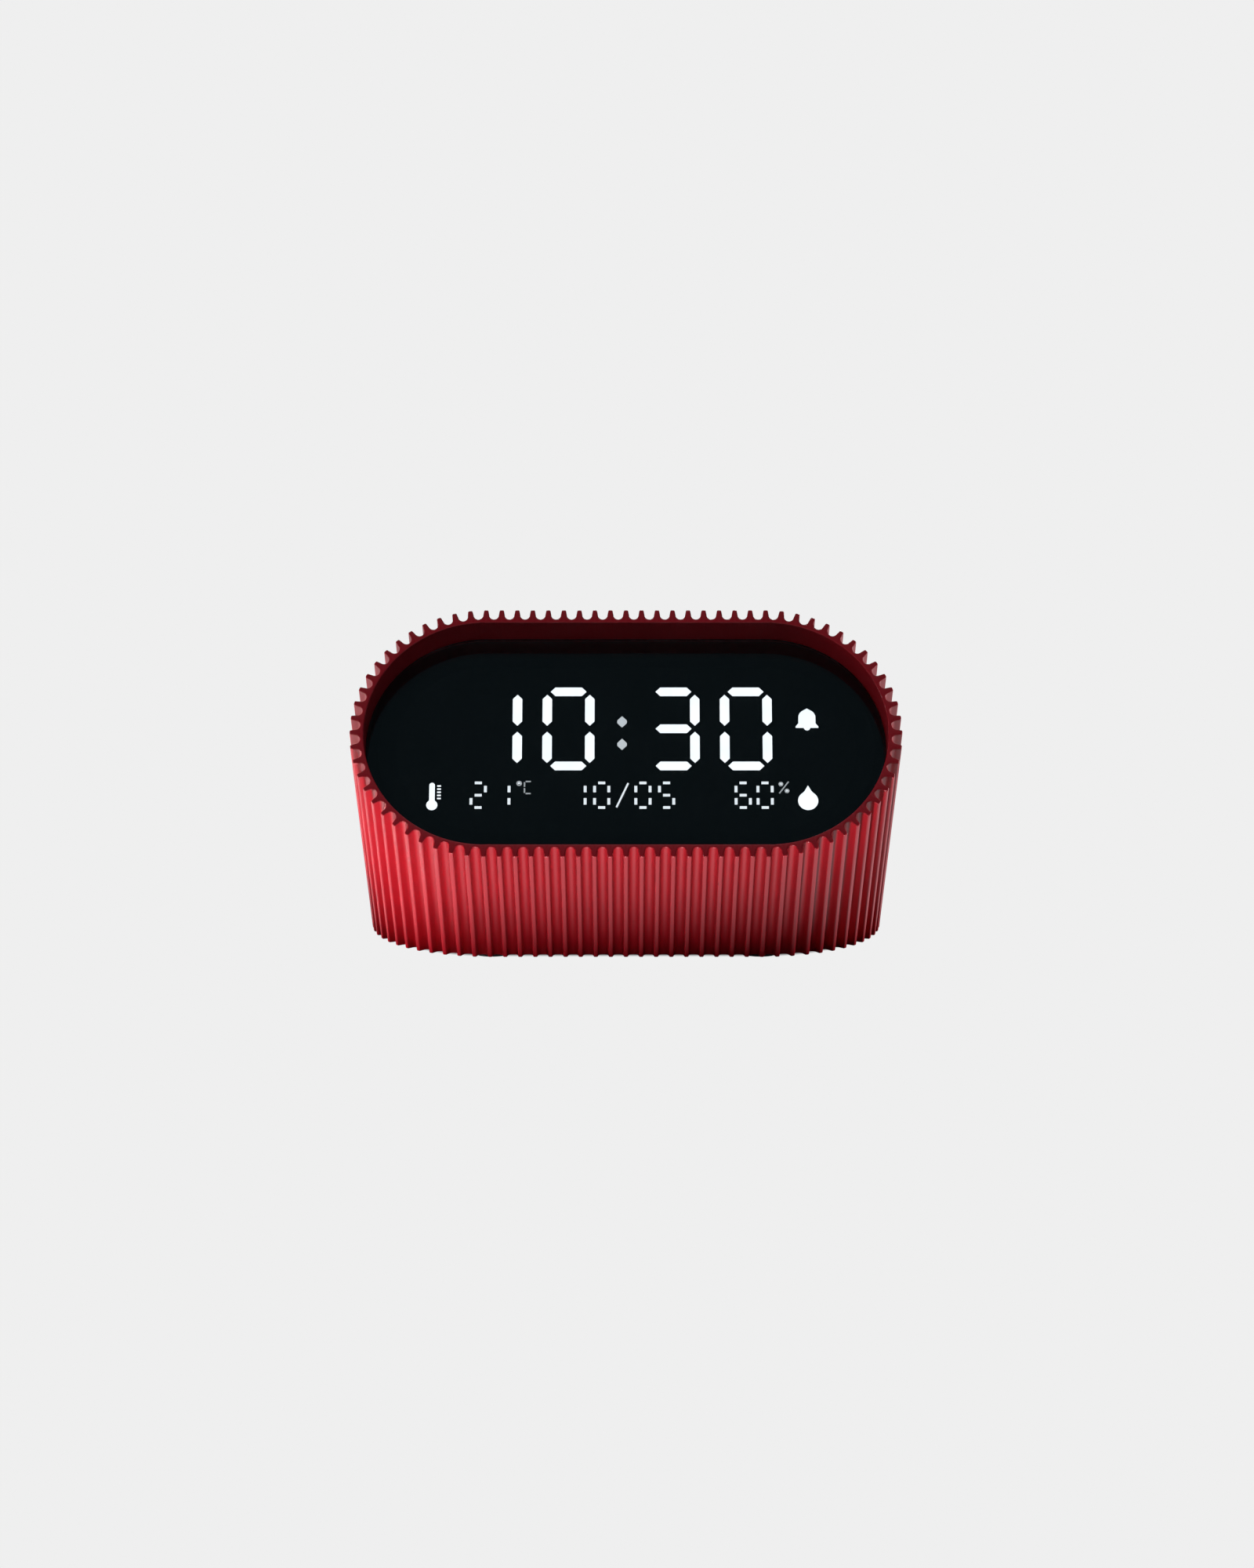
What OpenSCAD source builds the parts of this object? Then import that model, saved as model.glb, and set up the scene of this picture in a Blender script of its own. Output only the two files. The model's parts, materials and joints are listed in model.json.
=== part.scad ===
// Digital alarm clock: a ribbed tube laid back at an angle, cut flat where it stands,
// with a sunken display in its upper mouth and the controls in its rear end.
// The display frame has x to the right, y up the display and z out of it, from the lip.

/* [Housing] */
// Overall width across the rib tips
clock_w = 118; // [116:0.5:120]
// Overall depth from the lower lip to the rear rim
clock_d = 112; // [111:0.5:114]
// Angle between the display and the table
tilt = 60.75; // [60:0.25:61.5]
// Length of the lowest front rib, from lip to base
front_rib = 57.5; // [56.5:0.5:59]
// Spacing of the ribs along the straight sides
rib_pitch = 3.347; // [3.3:0.01:3.4]
// Number of rib spaces on each straight side
straight_ribs = 18; // [18:1:18]
// Number of rib spaces around each round end
end_ribs = 26; // [24:1:28]
// Depth of the grooves between the ribs
rib_depth = 2.18; // [1.8:0.02:2.3]
// Width of a rib at its tip
rib_tip = 1; // [0.8:0.05:1.1]
// Wall thickness under the grooves
wall = 0.8; // [0.75:0.05:1]

/* [Display] */
// Depth of the display lens below the lip
lens_drop = 8; // [7.5:0.1:8.5]
// Thickness of the display lens
lens_t = 1.5; // [1.2:0.1:1.6]
// Height of the time digits between the centres of their outer bars
digit_h = 17.5; // [16:0.1:18]
// Width of the time digits between the centres of their side bars
digit_w = 9.17; // [8:0.01:9.5]
// Stroke of the time digits
stroke = 2.05; // [1.8:0.05:2.2]
// Spacing of two neighbouring time digits
digit_pitch = 15.6; // [15:0.1:16]
// Sideways place of the middle of the four time digits
time_x = -1.07; // [-2:0.01:2]
// Height of the small digits between the centres of their outer bars
small_h = 5.74; // [5:0.01:6]
// Width of the small digits between the centres of their side bars
small_w = 3.05; // [2.8:0.01:3.2]
// Stroke of the small digits
small_stroke = 0.62; // [0.5:0.02:0.7]

/* [Base and rear] */
// Height of the rubber feet's soles below the rib ends
foot_proud = 0.8; // [0.6:0.1:1]
// Recess of the rear panel behind the rear rim
panel_drop = 2; // [1.5:0.1:2.5]
// Thickness of the rear panel
panel_t = 2; // [1.8:0.1:2.2]
// Thickness of the base plate
base_t = 2; // [1.8:0.1:2.2]
// Thickness of the steel ballast plate
ballast_t = 3.6; // [2:0.1:3.8]

/* [Controls] */
// Travel of the push buttons
button_travel = 0.8; // [0.5:0.05:0.8]
// Radius of a round button
button_r = 3.5; // [3:0.1:3.5]
// Length of the snooze bar
snooze_len = 30; // [26:0.5:30]
// Travel of the alarm switch
switch_travel = 3; // [2:0.1:3]
// Turn of the battery door from locked to open
door_turn = 45; // [40:1:50]

/* [Hidden] */
$fn = 48;
c_t = cos(tilt);
s_t = sin(tilt);
half = straight_ribs * rib_pitch / 2;
tip_r = clock_w / 2 - half;
bore_r = tip_r - rib_depth - wall;
lip_y = tip_r * c_t - clock_d / 2;
lip_z = foot_proud + front_rib * c_t + tip_r * s_t;
rear_y = clock_d / 2;
tube_len = 190;
// Side of the blocks that cut the tube flat
cutter = 4 * clock_w;

// Ribs: the groove is a round-bottomed channel, the tip has two small rounds
groove_r = 1.03;
tip_round = 0.3;

// Display stack, heights below the lip in the display frame
lens_back = lens_drop + lens_t;
tape_t = 0.4;
ledge_top = lens_back + tape_t;
ledge_t = 2.2;
ledge_w = 2.8;
block_top = lens_back + 0.1;
block_t = 9;
block_r = 19.6;
film_t = 1;
board_t = 1.6;
board_top = block_top + block_t;
led_board_r = bore_r - 0.9;
boss_r = 3;
web_t = 1.6;
boss_ring = bore_r - boss_r + 0.15;
pilot_r = 1.15;
shank_r = 1.05;
clear_r = 1.4;
head_room = 0.3;
post_r = 2.5;

// Display artwork, seen through the lens
digit_y = 4.85;
row_y = -10.75;
colon_x = -0.85;
colon_y = digit_y - 1.03;
colon_gap = 2.66;
pair_x = 11.32;
tip_gap = 0.7;
small_pitch = 5.07;
humid_pitch = 4.7;
temp_x = -31.65;
date_x = -10.27;
date_gap = 13.9;
humid_x = 25.1;
bell_x = 39;
bell_y = digit_y + 2.3;
drop_x = 39;
thermo_x = -41.55;
TIME = [1, 0, 3, 0];
TEMPERATURE = [2, 1];
DATE = [1, 0, 0, 5];
HUMIDITY = [6, 0];
DIGIT_X = [
    time_x - pair_x - digit_pitch,
    time_x - pair_x,
    time_x + pair_x,
    time_x + pair_x + digit_pitch,
];
DATE_X = [
    date_x,
    date_x + small_pitch,
    date_x + date_gap,
    date_x + date_gap + small_pitch,
];
TEMP_X = [temp_x, temp_x + small_pitch];
HUMID_X = [humid_x, humid_x + humid_pitch];
// Bars lit for each numeral: top, upper left, upper right, middle, lower left, lower right, bottom
BARS = [
    [1, 1, 1, 0, 1, 1, 1],
    [0, 0, 1, 0, 0, 1, 0],
    [1, 0, 1, 1, 1, 0, 1],
    [1, 0, 1, 1, 0, 1, 1],
    [0, 1, 1, 1, 0, 1, 0],
    [1, 1, 0, 1, 0, 1, 1],
    [1, 1, 0, 1, 1, 1, 1],
    [1, 0, 1, 0, 0, 1, 0],
    [1, 1, 1, 1, 1, 1, 1],
    [1, 1, 1, 1, 0, 1, 1],
];
ALL_BARS = [1, 1, 1, 1, 1, 1, 1];

// Base plate, heights above the table
base_bottom = foot_proud + 0.4;
base_top = base_bottom + base_t;
panel_out = rear_y - panel_drop;
panel_in = panel_out - panel_t;
base_gap = 0.25;
base_rear = panel_in - 0.2;
foot_r = 3.3;
FEET = [[-30, 4], [30, 4], [-34, 46], [34, 46]];
BASE_SCREWS = [[-20, 4.5], [20, 4.5], [-46, 42], [46, 42]];
base_boss_top = 12;
head_r = 2.2;
head_t = 1.1;
ballast_x = -5;
ballast_w = 36;
ballast_front = 8.3;
ballast_rear = 47;
ballast_floor = 0.6;
BALLAST_SCREWS = [[ballast_x, 12], [ballast_x, 43]];

// Main board and what stands on it
main_top = 9.4;
main_bottom = main_top - board_t;
MAIN_BOX = [[-30, 22], [20, 51]];
POSTS = [[-27, 25], [17, 25], [-27, 48], [17, 48]];
port_h = 3.26;
port_w = 8.94;
port_wall = 0.3;
port_z = main_top + port_h / 2;
port_back = 46.3;
port_front = panel_out - 0.4;
switch_x = -20;
switch_back = 46;
switch_front = 50;
knob_w = 4.4;
knob_h = 3;

// Control board, upright behind the rear panel
control_front = 41.4;
control_back = control_front + board_t;
control_low = 15;
control_high = 29;
control_half = 46;
tab_w = 14;
tab_low = 6;
CONTROL_POSTS = [[-43.5, 18], [43.5, 18]];
PANEL_SCREWS = [[-50, 12], [50, 12]];
row_z = 22;
BUTTON_X = [-37, -24.5, 24.5, 37];
SNOOZE_TACTS = [-10, 10];
tact_w = 6;
tact_t = 3.5;
tact_bore = 1.8;
plunger_r = 1.73;
plunger_end = control_back + tact_t - 1.5;
stem_end = control_back + tact_t + 1.5;
button_gap = 0.35;
button_proud = 1.2;
flange_t = 0.8;
flange_extra = 1.1;
stem_r = 1.5;
vent_x = 30;
vent_pitch = 2.4;
vent_half = 2.2;
vent_r = 0.6;
port_gap = 0.3;
panel_gap = 0.2;
head_sunk = 0.9;

// Battery compartment
CELL = [36, 25];
cell_r = 10;
cell_t = 3.2;
cell_z = base_top + 1.4;
door_r = 10.7;
door_hole_r = 11;
lug_r = 12.2;
lug_t = 1;
lug_low = base_top + 0.2;
lug_angle = 34;
notch_r = 12.6;
notch_angle = 42;
holder_r = 13.6;

// Sounder
SOUNDER = [-40.5, 25];
sounder_r = 9.5;
sounder_t = 4.8;

// ---- frames and shared shapes ----

// Puts its children in the display frame
module tilted() {
    translate([0, lip_y, lip_z]) rotate([tilt, 0, 0]) children();
}

// Extrudes a display-frame outline between two depths below the lip
module layer(top, thick) {
    tilted() translate([0, 0, -top - thick]) linear_extrude(thick) children();
}

module stadium(half_len, r) {
    square([2 * half_len, 2 * r], center = true);
    for (s = [-1, 1]) translate([s * half_len, 0]) circle(r);
}

// The tube's inside, or a body running along it, of end radius r
module tube(r) {
    layer(0, tube_len) stadium(half, r);
}

// Points an upright outline (x, z) to the rear, between two places along y
module toward_rear(from, to) {
    translate([0, to, 0]) rotate([90, 0, 0]) linear_extrude(to - from) children();
}

// An upright screw with its head down, from the face that the head bears on
module screw(len) {
    translate([0, 0, -head_t]) cylinder(h = head_t, r = head_r);
    cylinder(h = len, r = shank_r);
}

// ---- rib profile ----

// Offset from the rib's centre and depth below its tip, for one rib and its half grooves
function groove_point(side, a) =
    [side * (rib_pitch / 2 - groove_r * cos(a)), rib_depth - groove_r + groove_r * sin(a)];
function tip_point(side, a) =
    [side * (rib_tip / 2 - tip_round + tip_round * cos(a)), tip_round - tip_round * sin(a)];
RIB = concat(
    [for (a = [67.5, 45, 22.5, 0]) groove_point(-1, a)],
    [for (a = [0, 45, 90]) tip_point(-1, a)],
    [for (a = [90, 45, 0]) tip_point(1, a)],
    [for (a = [0, 22.5, 45, 67.5, 90]) groove_point(1, a)]);
end_step = 180 / end_ribs;

function straight_rib(k, side) = [for (q = RIB)
    side * [k * rib_pitch - half + q[0], tip_r - q[1]]];
function end_rib(k, side) = [for (q = RIB)
    let (a = 90 - end_step * (k + q[0] / rib_pitch))
    side * [half + (tip_r - q[1]) * cos(a), (tip_r - q[1]) * sin(a)]];
RIB_RING = [for (side = [1, -1]) each concat(
    [for (k = [0 : straight_ribs - 1]) each straight_rib(k, side)],
    [for (k = [0 : end_ribs - 1]) each end_rib(k, side)])];

// ---- housing ----

// Room of the bosses that grow from the wall, just inside the rib grooves
module boss_room() {
    intersection() {
        tube(bore_r + wall / 2);
        children();
    }
}

module ribbed_housing() {
    color("#b01f2e") difference() {
        union() {
            difference() {
                layer(0, tube_len) polygon(RIB_RING);
                tube(bore_r);
                translate([0, 0, foot_proud - cutter / 2]) cube(cutter, center = true);
                translate([0, rear_y + cutter / 2, 0]) cube(cutter, center = true);
            }
            layer(ledge_top, ledge_t) difference() {
                stadium(half, bore_r + wall / 2);
                stadium(half, bore_r - ledge_w);
            }
            boss_room() {
                layer(ledge_top, board_top - ledge_top) display_boss_places() circle(boss_r);
            }
            boss_room() {
                base_bosses();
            }
            boss_room() {
                panel_bosses();
            }
        }
        layer(ledge_top + ledge_t, board_top) display_boss_places() circle(pilot_r);
        for (q = BASE_SCREWS) translate([q[0], q[1], 0]) cylinder(h = base_boss_top - 1, r = pilot_r);
        toward_rear(panel_in - 9, panel_in + 1) for (q = PANEL_SCREWS) translate(q) circle(pilot_r);
    }
}

// Six places around the display: two on each round end, one above and one below the middle
module display_boss_places() {
    for (s = [-1, 1]) {
        translate([0, s * boss_ring]) children();
        for (a = [-40, 40]) translate([s * (half + boss_ring * cos(a)), boss_ring * sin(a)]) children();
    }
}

// Bosses for the base screws: the front pair has webs to the front wall, the rear pair to the sides
module base_bosses() {
    tall = base_boss_top - base_top;
    for (q = BASE_SCREWS) translate([q[0], q[1], base_top]) {
        cylinder(h = tall, r = boss_r);
        if (q[1] < panel_in / 2) translate([-web_t / 2, -26, 0]) cube([web_t, 26, tall]);
        else translate([q[0] > 0 ? 0 : -14, -web_t / 2, 0]) cube([14, web_t, tall]);
    }
}

// Bosses for the rear panel's screws, each with a web to the side wall
module panel_bosses() {
    toward_rear(panel_in - 10, panel_in) for (q = PANEL_SCREWS) {
        translate(q) circle(boss_r);
        translate([q[0] > 0 ? q[0] : q[0] - 9, q[1] - web_t / 2]) square([9, web_t]);
    }
}

// ---- display ----

module display_lens() {
    color("#0b0e11") layer(lens_drop, lens_t) stadium(half, bore_r - 0.15);
}

module lens_tape() {
    color("#202020") layer(lens_back, tape_t) difference() {
        stadium(half, bore_r - 0.3);
        stadium(half, bore_r - ledge_w + 0.2);
    }
}

// One bar with pointed ends, along x
module bar(len, w) {
    polygon([[-len / 2, 0], [w / 2 - len / 2, w / 2], [len / 2 - w / 2, w / 2], [len / 2, 0],
        [len / 2 - w / 2, -w / 2], [w / 2 - len / 2, -w / 2]]);
}

// One short bar with blunt ends, along x
module dash(len, w) {
    square([len, w], center = true);
}

// The bars of one time digit that are set in on
module digit_bars(on) {
    long = digit_h / 2 - 2 * tip_gap;
    wide = digit_w - 2 * tip_gap;
    for (k = [0 : 2]) if (on[3 * k]) translate([0, (1 - k) * digit_h / 2]) bar(wide, stroke);
    for (row = [0, 1]) for (col = [0, 1])
        if (on[1 + col + 3 * row]) translate([(col - 0.5) * digit_w, (0.5 - row) * digit_h / 2])
            rotate(90) bar(long, stroke);
}

// The dashes of one small digit that are set in on
module small_bars(on) {
    len = small_h / 2 - 1.35;
    for (k = [0 : 2]) if (on[3 * k]) translate([0, (1 - k) * small_h / 2]) dash(len, small_stroke);
    for (row = [0, 1]) for (col = [0, 1])
        if (on[1 + col + 3 * row]) translate([(col - 0.5) * small_w, (0.5 - row) * small_h / 2])
            rotate(90) dash(len, small_stroke);
}

module time_art(lit) {
    for (k = [0 : 3]) translate([DIGIT_X[k], digit_y])
        digit_bars([for (b = BARS[TIME[k]]) lit ? b : 1 - b]);
}

module small_art(values, places) {
    for (k = [0 : len(values) - 1]) translate([places[k], row_y]) small_bars(BARS[values[k]]);
}

module colon_art() {
    for (s = [-1, 1]) translate([colon_x, colon_y + s * colon_gap])
        rotate(90) bar(2.7, stroke);
}

module date_art() {
    small_art(DATE, DATE_X);
    translate([date_x + 9.5, row_y]) rotate(66) dash(6.2, 0.4);
}

module ring_art(r, open) {
    difference() {
        circle(r);
        if (open) circle(r / 2);
    }
}

// The degree sign with its letter's four strokes, then the percent sign; rings are open or filled
module unit_art(open) {
    translate([temp_x + 8.75, row_y + 2.75]) ring_art(0.6, open);
    translate([temp_x + 10.5, row_y + 1.8]) {
        for (s = [-1, 1]) {
            translate([0.2, s * 1.4]) dash(1.1, 0.32);
            translate([-0.6, s * 0.7]) rotate(90) dash(1.1, 0.32);
        }
    }
    translate([humid_x + 8.75, row_y + 1.8]) {
        rotate(54) dash(3.4, 0.28);
        for (s = [-1, 1]) translate([s * 0.65, -s * 0.8]) ring_art(0.52, open);
    }
}

module bell_art() {
    translate([bell_x, bell_y]) {
        translate([0, 0.35]) circle(1.85);
        translate([-1.85, -1.3]) square([3.7, 1.65]);
        polygon([[-1, 1.9], [0, 2.5], [1, 1.9]]);
        polygon([[-1.85, -1], [-2.44, -1.75], [-2.44, -2.1], [2.44, -2.1], [2.44, -1.75], [1.85, -1]]);
        translate([0, -1.98]) circle(0.72);
    }
}

module thermometer_art() {
    translate([thermo_x, row_y - 2.3]) circle(1.2);
    translate([thermo_x - 0.6, row_y - 2.3]) square([1.2, 4.6]);
    translate([thermo_x, row_y + 2.3]) circle(0.6);
    for (k = [0 : 4]) translate([thermo_x + 1.5, row_y + 2.15 - k * 0.73]) dash(0.8, 0.36);
}

module drop_art() {
    translate([drop_x, row_y - 1.3]) {
        circle(2.16);
        polygon([[-1.87, 1.08], [-0.75, 2.25], [0, 3.6], [0.75, 2.25], [1.87, 1.08]]);
    }
}

// Diffuser pieces that fill the front ends of the light channels
module films() {
    layer(block_top, film_t) children();
}

module time_segments() {
    color("white") films() time_art(true);
}

module idle_segments() {
    color("#1a1c1f") films() time_art(false);
}

module colon_dots() {
    color("#c4c4c4") films() colon_art();
}

module temperature_digits() {
    color("white") films() small_art(TEMPERATURE, TEMP_X);
}

module date_digits() {
    color("white") films() date_art();
}

module humidity_digits() {
    color("white") films() small_art(HUMIDITY, HUMID_X);
}

module unit_marks() {
    color("#d0d0d0") films() unit_art(true);
}

module bell_icon() {
    color("white") films() bell_art();
}

module thermometer_icon() {
    color("white") films() thermometer_art();
}

module drop_icon() {
    color("white") films() drop_art();
}

// Block of light channels: one under each bar, and one wide channel under each group of marks
module reflector_block() {
    color("#151516") difference() {
        layer(block_top, block_t) stadium(half, block_r);
        layer(block_top - 1, film_t + 1) {
            time_art(true);
            time_art(false);
            colon_art();
            small_art(TEMPERATURE, TEMP_X);
            date_art();
            small_art(HUMIDITY, HUMID_X);
            unit_art(false);
            bell_art();
            thermometer_art();
            drop_art();
        }
        layer(block_top + film_t, block_t) {
            for (k = [0 : 3]) translate([DIGIT_X[k], digit_y]) digit_bars(ALL_BARS);
            colon_art();
            bell_art();
            drop_art();
            for (q = channel_rows()) translate([q[0], row_y])
                square([q[1], small_h + 1], center = true);
        }
    }
}

// Centre and width of the wide channels behind the small row
function channel_rows() = [
    [thermo_x + 0.5, 4],
    [temp_x + 4.5, 14],
    [date_x + 9.5, 24],
    [humid_x + 3.6, 13.6],
];

module led_board() {
    color("#1f3b2c") difference() {
        layer(board_top, board_t) stadium(half, led_board_r);
        layer(board_top - 1, board_t + 2) display_boss_places() circle(clear_r);
    }
}

// Light chip lying along a bar, or turned upright
chip_size = [1.6, 0.8];
chip_t = 0.6;
module chip(turn) {
    rotate(turn) square(chip_size, center = true);
}

// One light chip at the foot of each channel, in rows under the wide ones
module led_chips() {
    color("#f2e6a0") layer(board_top - chip_t, chip_t) {
        for (k = [0 : 3]) translate([DIGIT_X[k], digit_y]) {
            for (s = [-1, 0, 1]) translate([0, s * digit_h / 2]) chip(0);
            for (s = [-1, 1]) for (t = [-1, 1])
                translate([s * digit_w / 2, t * digit_h / 4]) chip(90);
        }
        for (s = [-1, 1]) translate([colon_x, colon_y + s * colon_gap]) chip(90);
        translate([bell_x, bell_y]) chip(0);
        translate([drop_x, row_y - 1.3]) chip(0);
        for (q = channel_rows()) for (x = [3 - q[1] : 3 : q[1] - 2])
            translate([q[0] + x / 2, row_y]) chip(90);
    }
}

module led_driver() {
    color("#222222") layer(board_top + board_t, 1.4) translate([18, 2]) square([10, 7], center = true);
}

module display_screws() {
    color("silver") {
        layer(board_top + board_t, head_t) display_boss_places() circle(head_r);
        layer(board_top - 5, board_t + 5) display_boss_places() circle(shank_r);
    }
}

// Flat connectors: one behind the display board, one on the main board
ribbon_w = 16;
ribbon_t = 0.3;
socket_size = [20, 6, 2];
module ribbon_sockets() {
    color("#e9e4d8") {
        layer(board_top + board_t, socket_size[2]) translate([ballast_x, -14])
            square([socket_size[0], socket_size[1]], center = true);
        translate([ballast_x - socket_size[0] / 2, MAIN_BOX[0][1] + 1, main_top]) cube(socket_size);
    }
}

// Side view (y, z) of the ribbon's centre line, one cubic curve between the two connectors
function in_display(v, deep) = [lip_y + v * c_t + deep * s_t, lip_z + v * s_t - deep * c_t];
ribbon_deep = board_top + board_t + 1;
RIBBON = [
    in_display(-17.1, ribbon_deep),
    in_display(-24, ribbon_deep + 6),
    [0, main_top + 1],
    [MAIN_BOX[0][1] + 0.9, main_top + 1],
];
ribbon_steps = 16;
function curve(t) = pow(1 - t, 3) * RIBBON[0] + 3 * pow(1 - t, 2) * t * RIBBON[1]
    + 3 * (1 - t) * t * t * RIBBON[2] + t * t * t * RIBBON[3];
function along(t) = let (d = curve(min(1, t + 0.01)) - curve(max(0, t - 0.01))) d / norm(d);
function ribbon_side(s) = [for (k = [0 : ribbon_steps])
    let (t = k / ribbon_steps, d = along(t)) curve(t) + s * ribbon_t / 2 * [-d[1], d[0]]];
function backwards(list) = [for (k = [len(list) - 1 : -1 : 0]) list[k]];

module ribbon_cable() {
    color("#d9dde0") translate([ballast_x - ribbon_w / 2, 0, 0]) rotate([90, 0, 90])
        linear_extrude(ribbon_w) polygon(concat(ribbon_side(1), backwards(ribbon_side(-1))));
}

// ---- rear panel and controls ----

// Openings of the rear panel, as an upright outline
module panel_openings() {
    for (x = BUTTON_X) translate([x, row_z]) circle(button_r + button_gap);
    translate([0, row_z]) stadium(snooze_len / 2 - button_r, button_r + button_gap);
    translate([0, port_z]) stadium(port_w / 2 - port_h / 2, port_h / 2 + port_gap);
    translate([switch_x + switch_travel / 2, port_z])
        square([knob_w + switch_travel + 2 * button_gap, knob_h + 2 * button_gap], center = true);
    for (k = [-2 : 2]) translate([vent_x + k * vent_pitch, port_z]) rotate(90) stadium(vent_half, vent_r);
    for (q = PANEL_SCREWS) translate(q) circle(clear_r);
}

module rear_panel() {
    color("#2a2a2d") difference() {
        union() {
            intersection() {
                tube(bore_r - panel_gap);
                translate([-clock_w, panel_in, base_bottom]) cube([2 * clock_w, panel_t, clock_w]);
            }
            toward_rear(control_back, panel_in) for (q = CONTROL_POSTS) translate(q) circle(post_r);
        }
        toward_rear(panel_in - 1, rear_y) panel_openings();
        toward_rear(panel_out - head_sunk, rear_y)
            for (q = PANEL_SCREWS) translate(q) circle(head_r + head_room);
        toward_rear(control_back - 1, panel_in - 1) for (q = CONTROL_POSTS) translate(q) circle(pilot_r);
    }
}

module panel_screws() {
    color("silver") for (q = PANEL_SCREWS) {
        toward_rear(panel_out - head_sunk, panel_out - head_sunk + head_t) translate(q) circle(head_r);
        toward_rear(panel_out - 9, panel_out - head_sunk) translate(q) circle(shank_r);
    }
}

module control_board() {
    color("#1f3b2c") difference() {
        toward_rear(control_front, control_back) {
            translate([-control_half, control_low])
                square([2 * control_half, control_high - control_low]);
            translate([vent_x - tab_w / 2, tab_low]) square([tab_w, control_low - tab_low + 1]);
        }
        toward_rear(control_front - 1, control_back + 1) for (q = CONTROL_POSTS) translate(q) circle(clear_r);
    }
}

module control_screws() {
    color("silver") for (q = CONTROL_POSTS) {
        toward_rear(control_front - head_t, control_front) translate(q) circle(head_r);
        toward_rear(control_front, control_back + 6) translate(q) circle(shank_r);
    }
}

// Six bent pins that join the control board to the main board
pin_t = 0.6;
pin_pitch = 2.54;
pin_reach = 3;
pin_rise = 7.5;
module header_pins() {
    color("gold") for (k = [0 : 5])
        translate([pin_pitch * (k - 2.5) - pin_t / 2, control_front - pin_reach, main_top]) {
            cube([pin_t, pin_t, pin_rise + pin_t]);
            translate([0, 0, pin_rise]) cube([pin_t, pin_reach, pin_t]);
        }
}

sensor_size = [3, 1.1, 3];
module sensor_chip() {
    color("#101010") translate([vent_x - sensor_size[0] / 2, control_back, port_z - 2]) cube(sensor_size);
}

TACTS = [for (x = concat(BUTTON_X, SNOOZE_TACTS)) [x, row_z]];
module tact_switches() {
    color("#3c3c3f") difference() {
        toward_rear(control_back, control_back + tact_t)
            for (q = TACTS) translate(q) square(tact_w, center = true);
        toward_rear(plunger_end - button_travel - 0.3, control_back + tact_t + 1)
            for (q = TACTS) translate(q) circle(tact_bore);
    }
}

// The push post of one or more tact switches
module plungers(places) {
    color("#e6e2d6") toward_rear(plunger_end, stem_end)
        for (x = places) translate([x, row_z]) circle(plunger_r);
}

// A push button about x: cap and retaining flange of half length half_len, and its stems
module push_button(x, half_len, stems) {
    back = panel_in - 0.1;
    color("#3a3a3e") {
        translate([x, 0, row_z]) {
            toward_rear(back, panel_out + button_proud) pill(half_len, button_r);
            toward_rear(back - flange_t, back) pill(half_len, button_r + flange_extra);
        }
        toward_rear(stem_end, back - flange_t) for (q = stems) translate([q, row_z]) circle(stem_r);
    }
}

// A stadium, or a circle where it has no length
module pill(half_len, r) {
    if (half_len > 0) stadium(half_len, r);
    else circle(r);
}

module round_button(x) {
    push_button(x, 0, [x]);
}

module snooze_bar() {
    push_button(0, snooze_len / 2 - button_r, SNOOZE_TACTS);
}

module snooze_plungers() {
    plungers(SNOOZE_TACTS);
}

module set_button() {
    round_button(BUTTON_X[0]);
}

module set_plunger() {
    plungers([BUTTON_X[0]]);
}

module alarm_button() {
    round_button(BUTTON_X[1]);
}

module alarm_plunger() {
    plungers([BUTTON_X[1]]);
}

module minus_button() {
    round_button(BUTTON_X[2]);
}

module minus_plunger() {
    plungers([BUTTON_X[2]]);
}

module plus_button() {
    round_button(BUTTON_X[3]);
}

module plus_plunger() {
    plungers([BUTTON_X[3]]);
}

module alarm_switch_body() {
    color("#8c8f93") difference() {
        translate([switch_x + switch_travel / 2 - 5, switch_back, main_top])
            cube([10, switch_front - switch_back, port_h]);
        translate([switch_x - 1.3, switch_front - 2, port_z - 1]) cube([2.6 + switch_travel, 3, 2]);
    }
}

module alarm_switch_knob() {
    color("#b01f2e") {
        translate([switch_x - 1, switch_front - 1.7, port_z - 0.7]) cube([2, 3.9, 1.4]);
        translate([switch_x - knob_w / 2, panel_in + 0.2, port_z - knob_h / 2])
            cube([knob_w, panel_t + 1, knob_h]);
    }
}

// ---- base ----

// Sound holes: one in the middle and six around it
module sound_holes() {
    translate([SOUNDER[0], SOUNDER[1], 0]) {
        cylinder(h = base_top + 1, r = 1);
        for (k = [0 : 5]) rotate(60 * k) translate([4, 0, 0]) cylinder(h = base_top + 1, r = 1);
    }
}

// A ring piece between two radii over an angle, turned about z
module sector(r, angle, h) {
    rotate(-angle / 2) rotate_extrude(angle = angle) square([r, h]);
}

module base_plate() {
    color("#2a2a2d") difference() {
        union() {
            intersection() {
                tube(bore_r - base_gap);
                translate([-clock_w, -clock_d, base_bottom])
                    cube([2 * clock_w, clock_d + base_rear, base_t]);
            }
            for (q = POSTS) translate([q[0], q[1], base_bottom])
                cylinder(h = main_bottom - base_bottom, r = post_r);
        }
        translate([CELL[0], CELL[1], 0]) {
            cylinder(h = base_top + 1, r = door_hole_r);
            for (s = [0, 180]) rotate(s - door_turn) sector(notch_r, notch_angle, base_top + 1);
        }
        sound_holes();
        for (q = BASE_SCREWS) translate([q[0], q[1], 0]) {
            cylinder(h = base_top + 1, r = clear_r);
            cylinder(h = base_bottom + head_t, r = head_r + head_room);
        }
        for (q = POSTS) translate([q[0], q[1], base_top]) cylinder(h = main_bottom, r = pilot_r);
        for (q = BALLAST_SCREWS) translate([q[0], q[1], base_bottom + ballast_floor])
            cylinder(h = base_t, r = pilot_r);
    }
}

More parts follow.
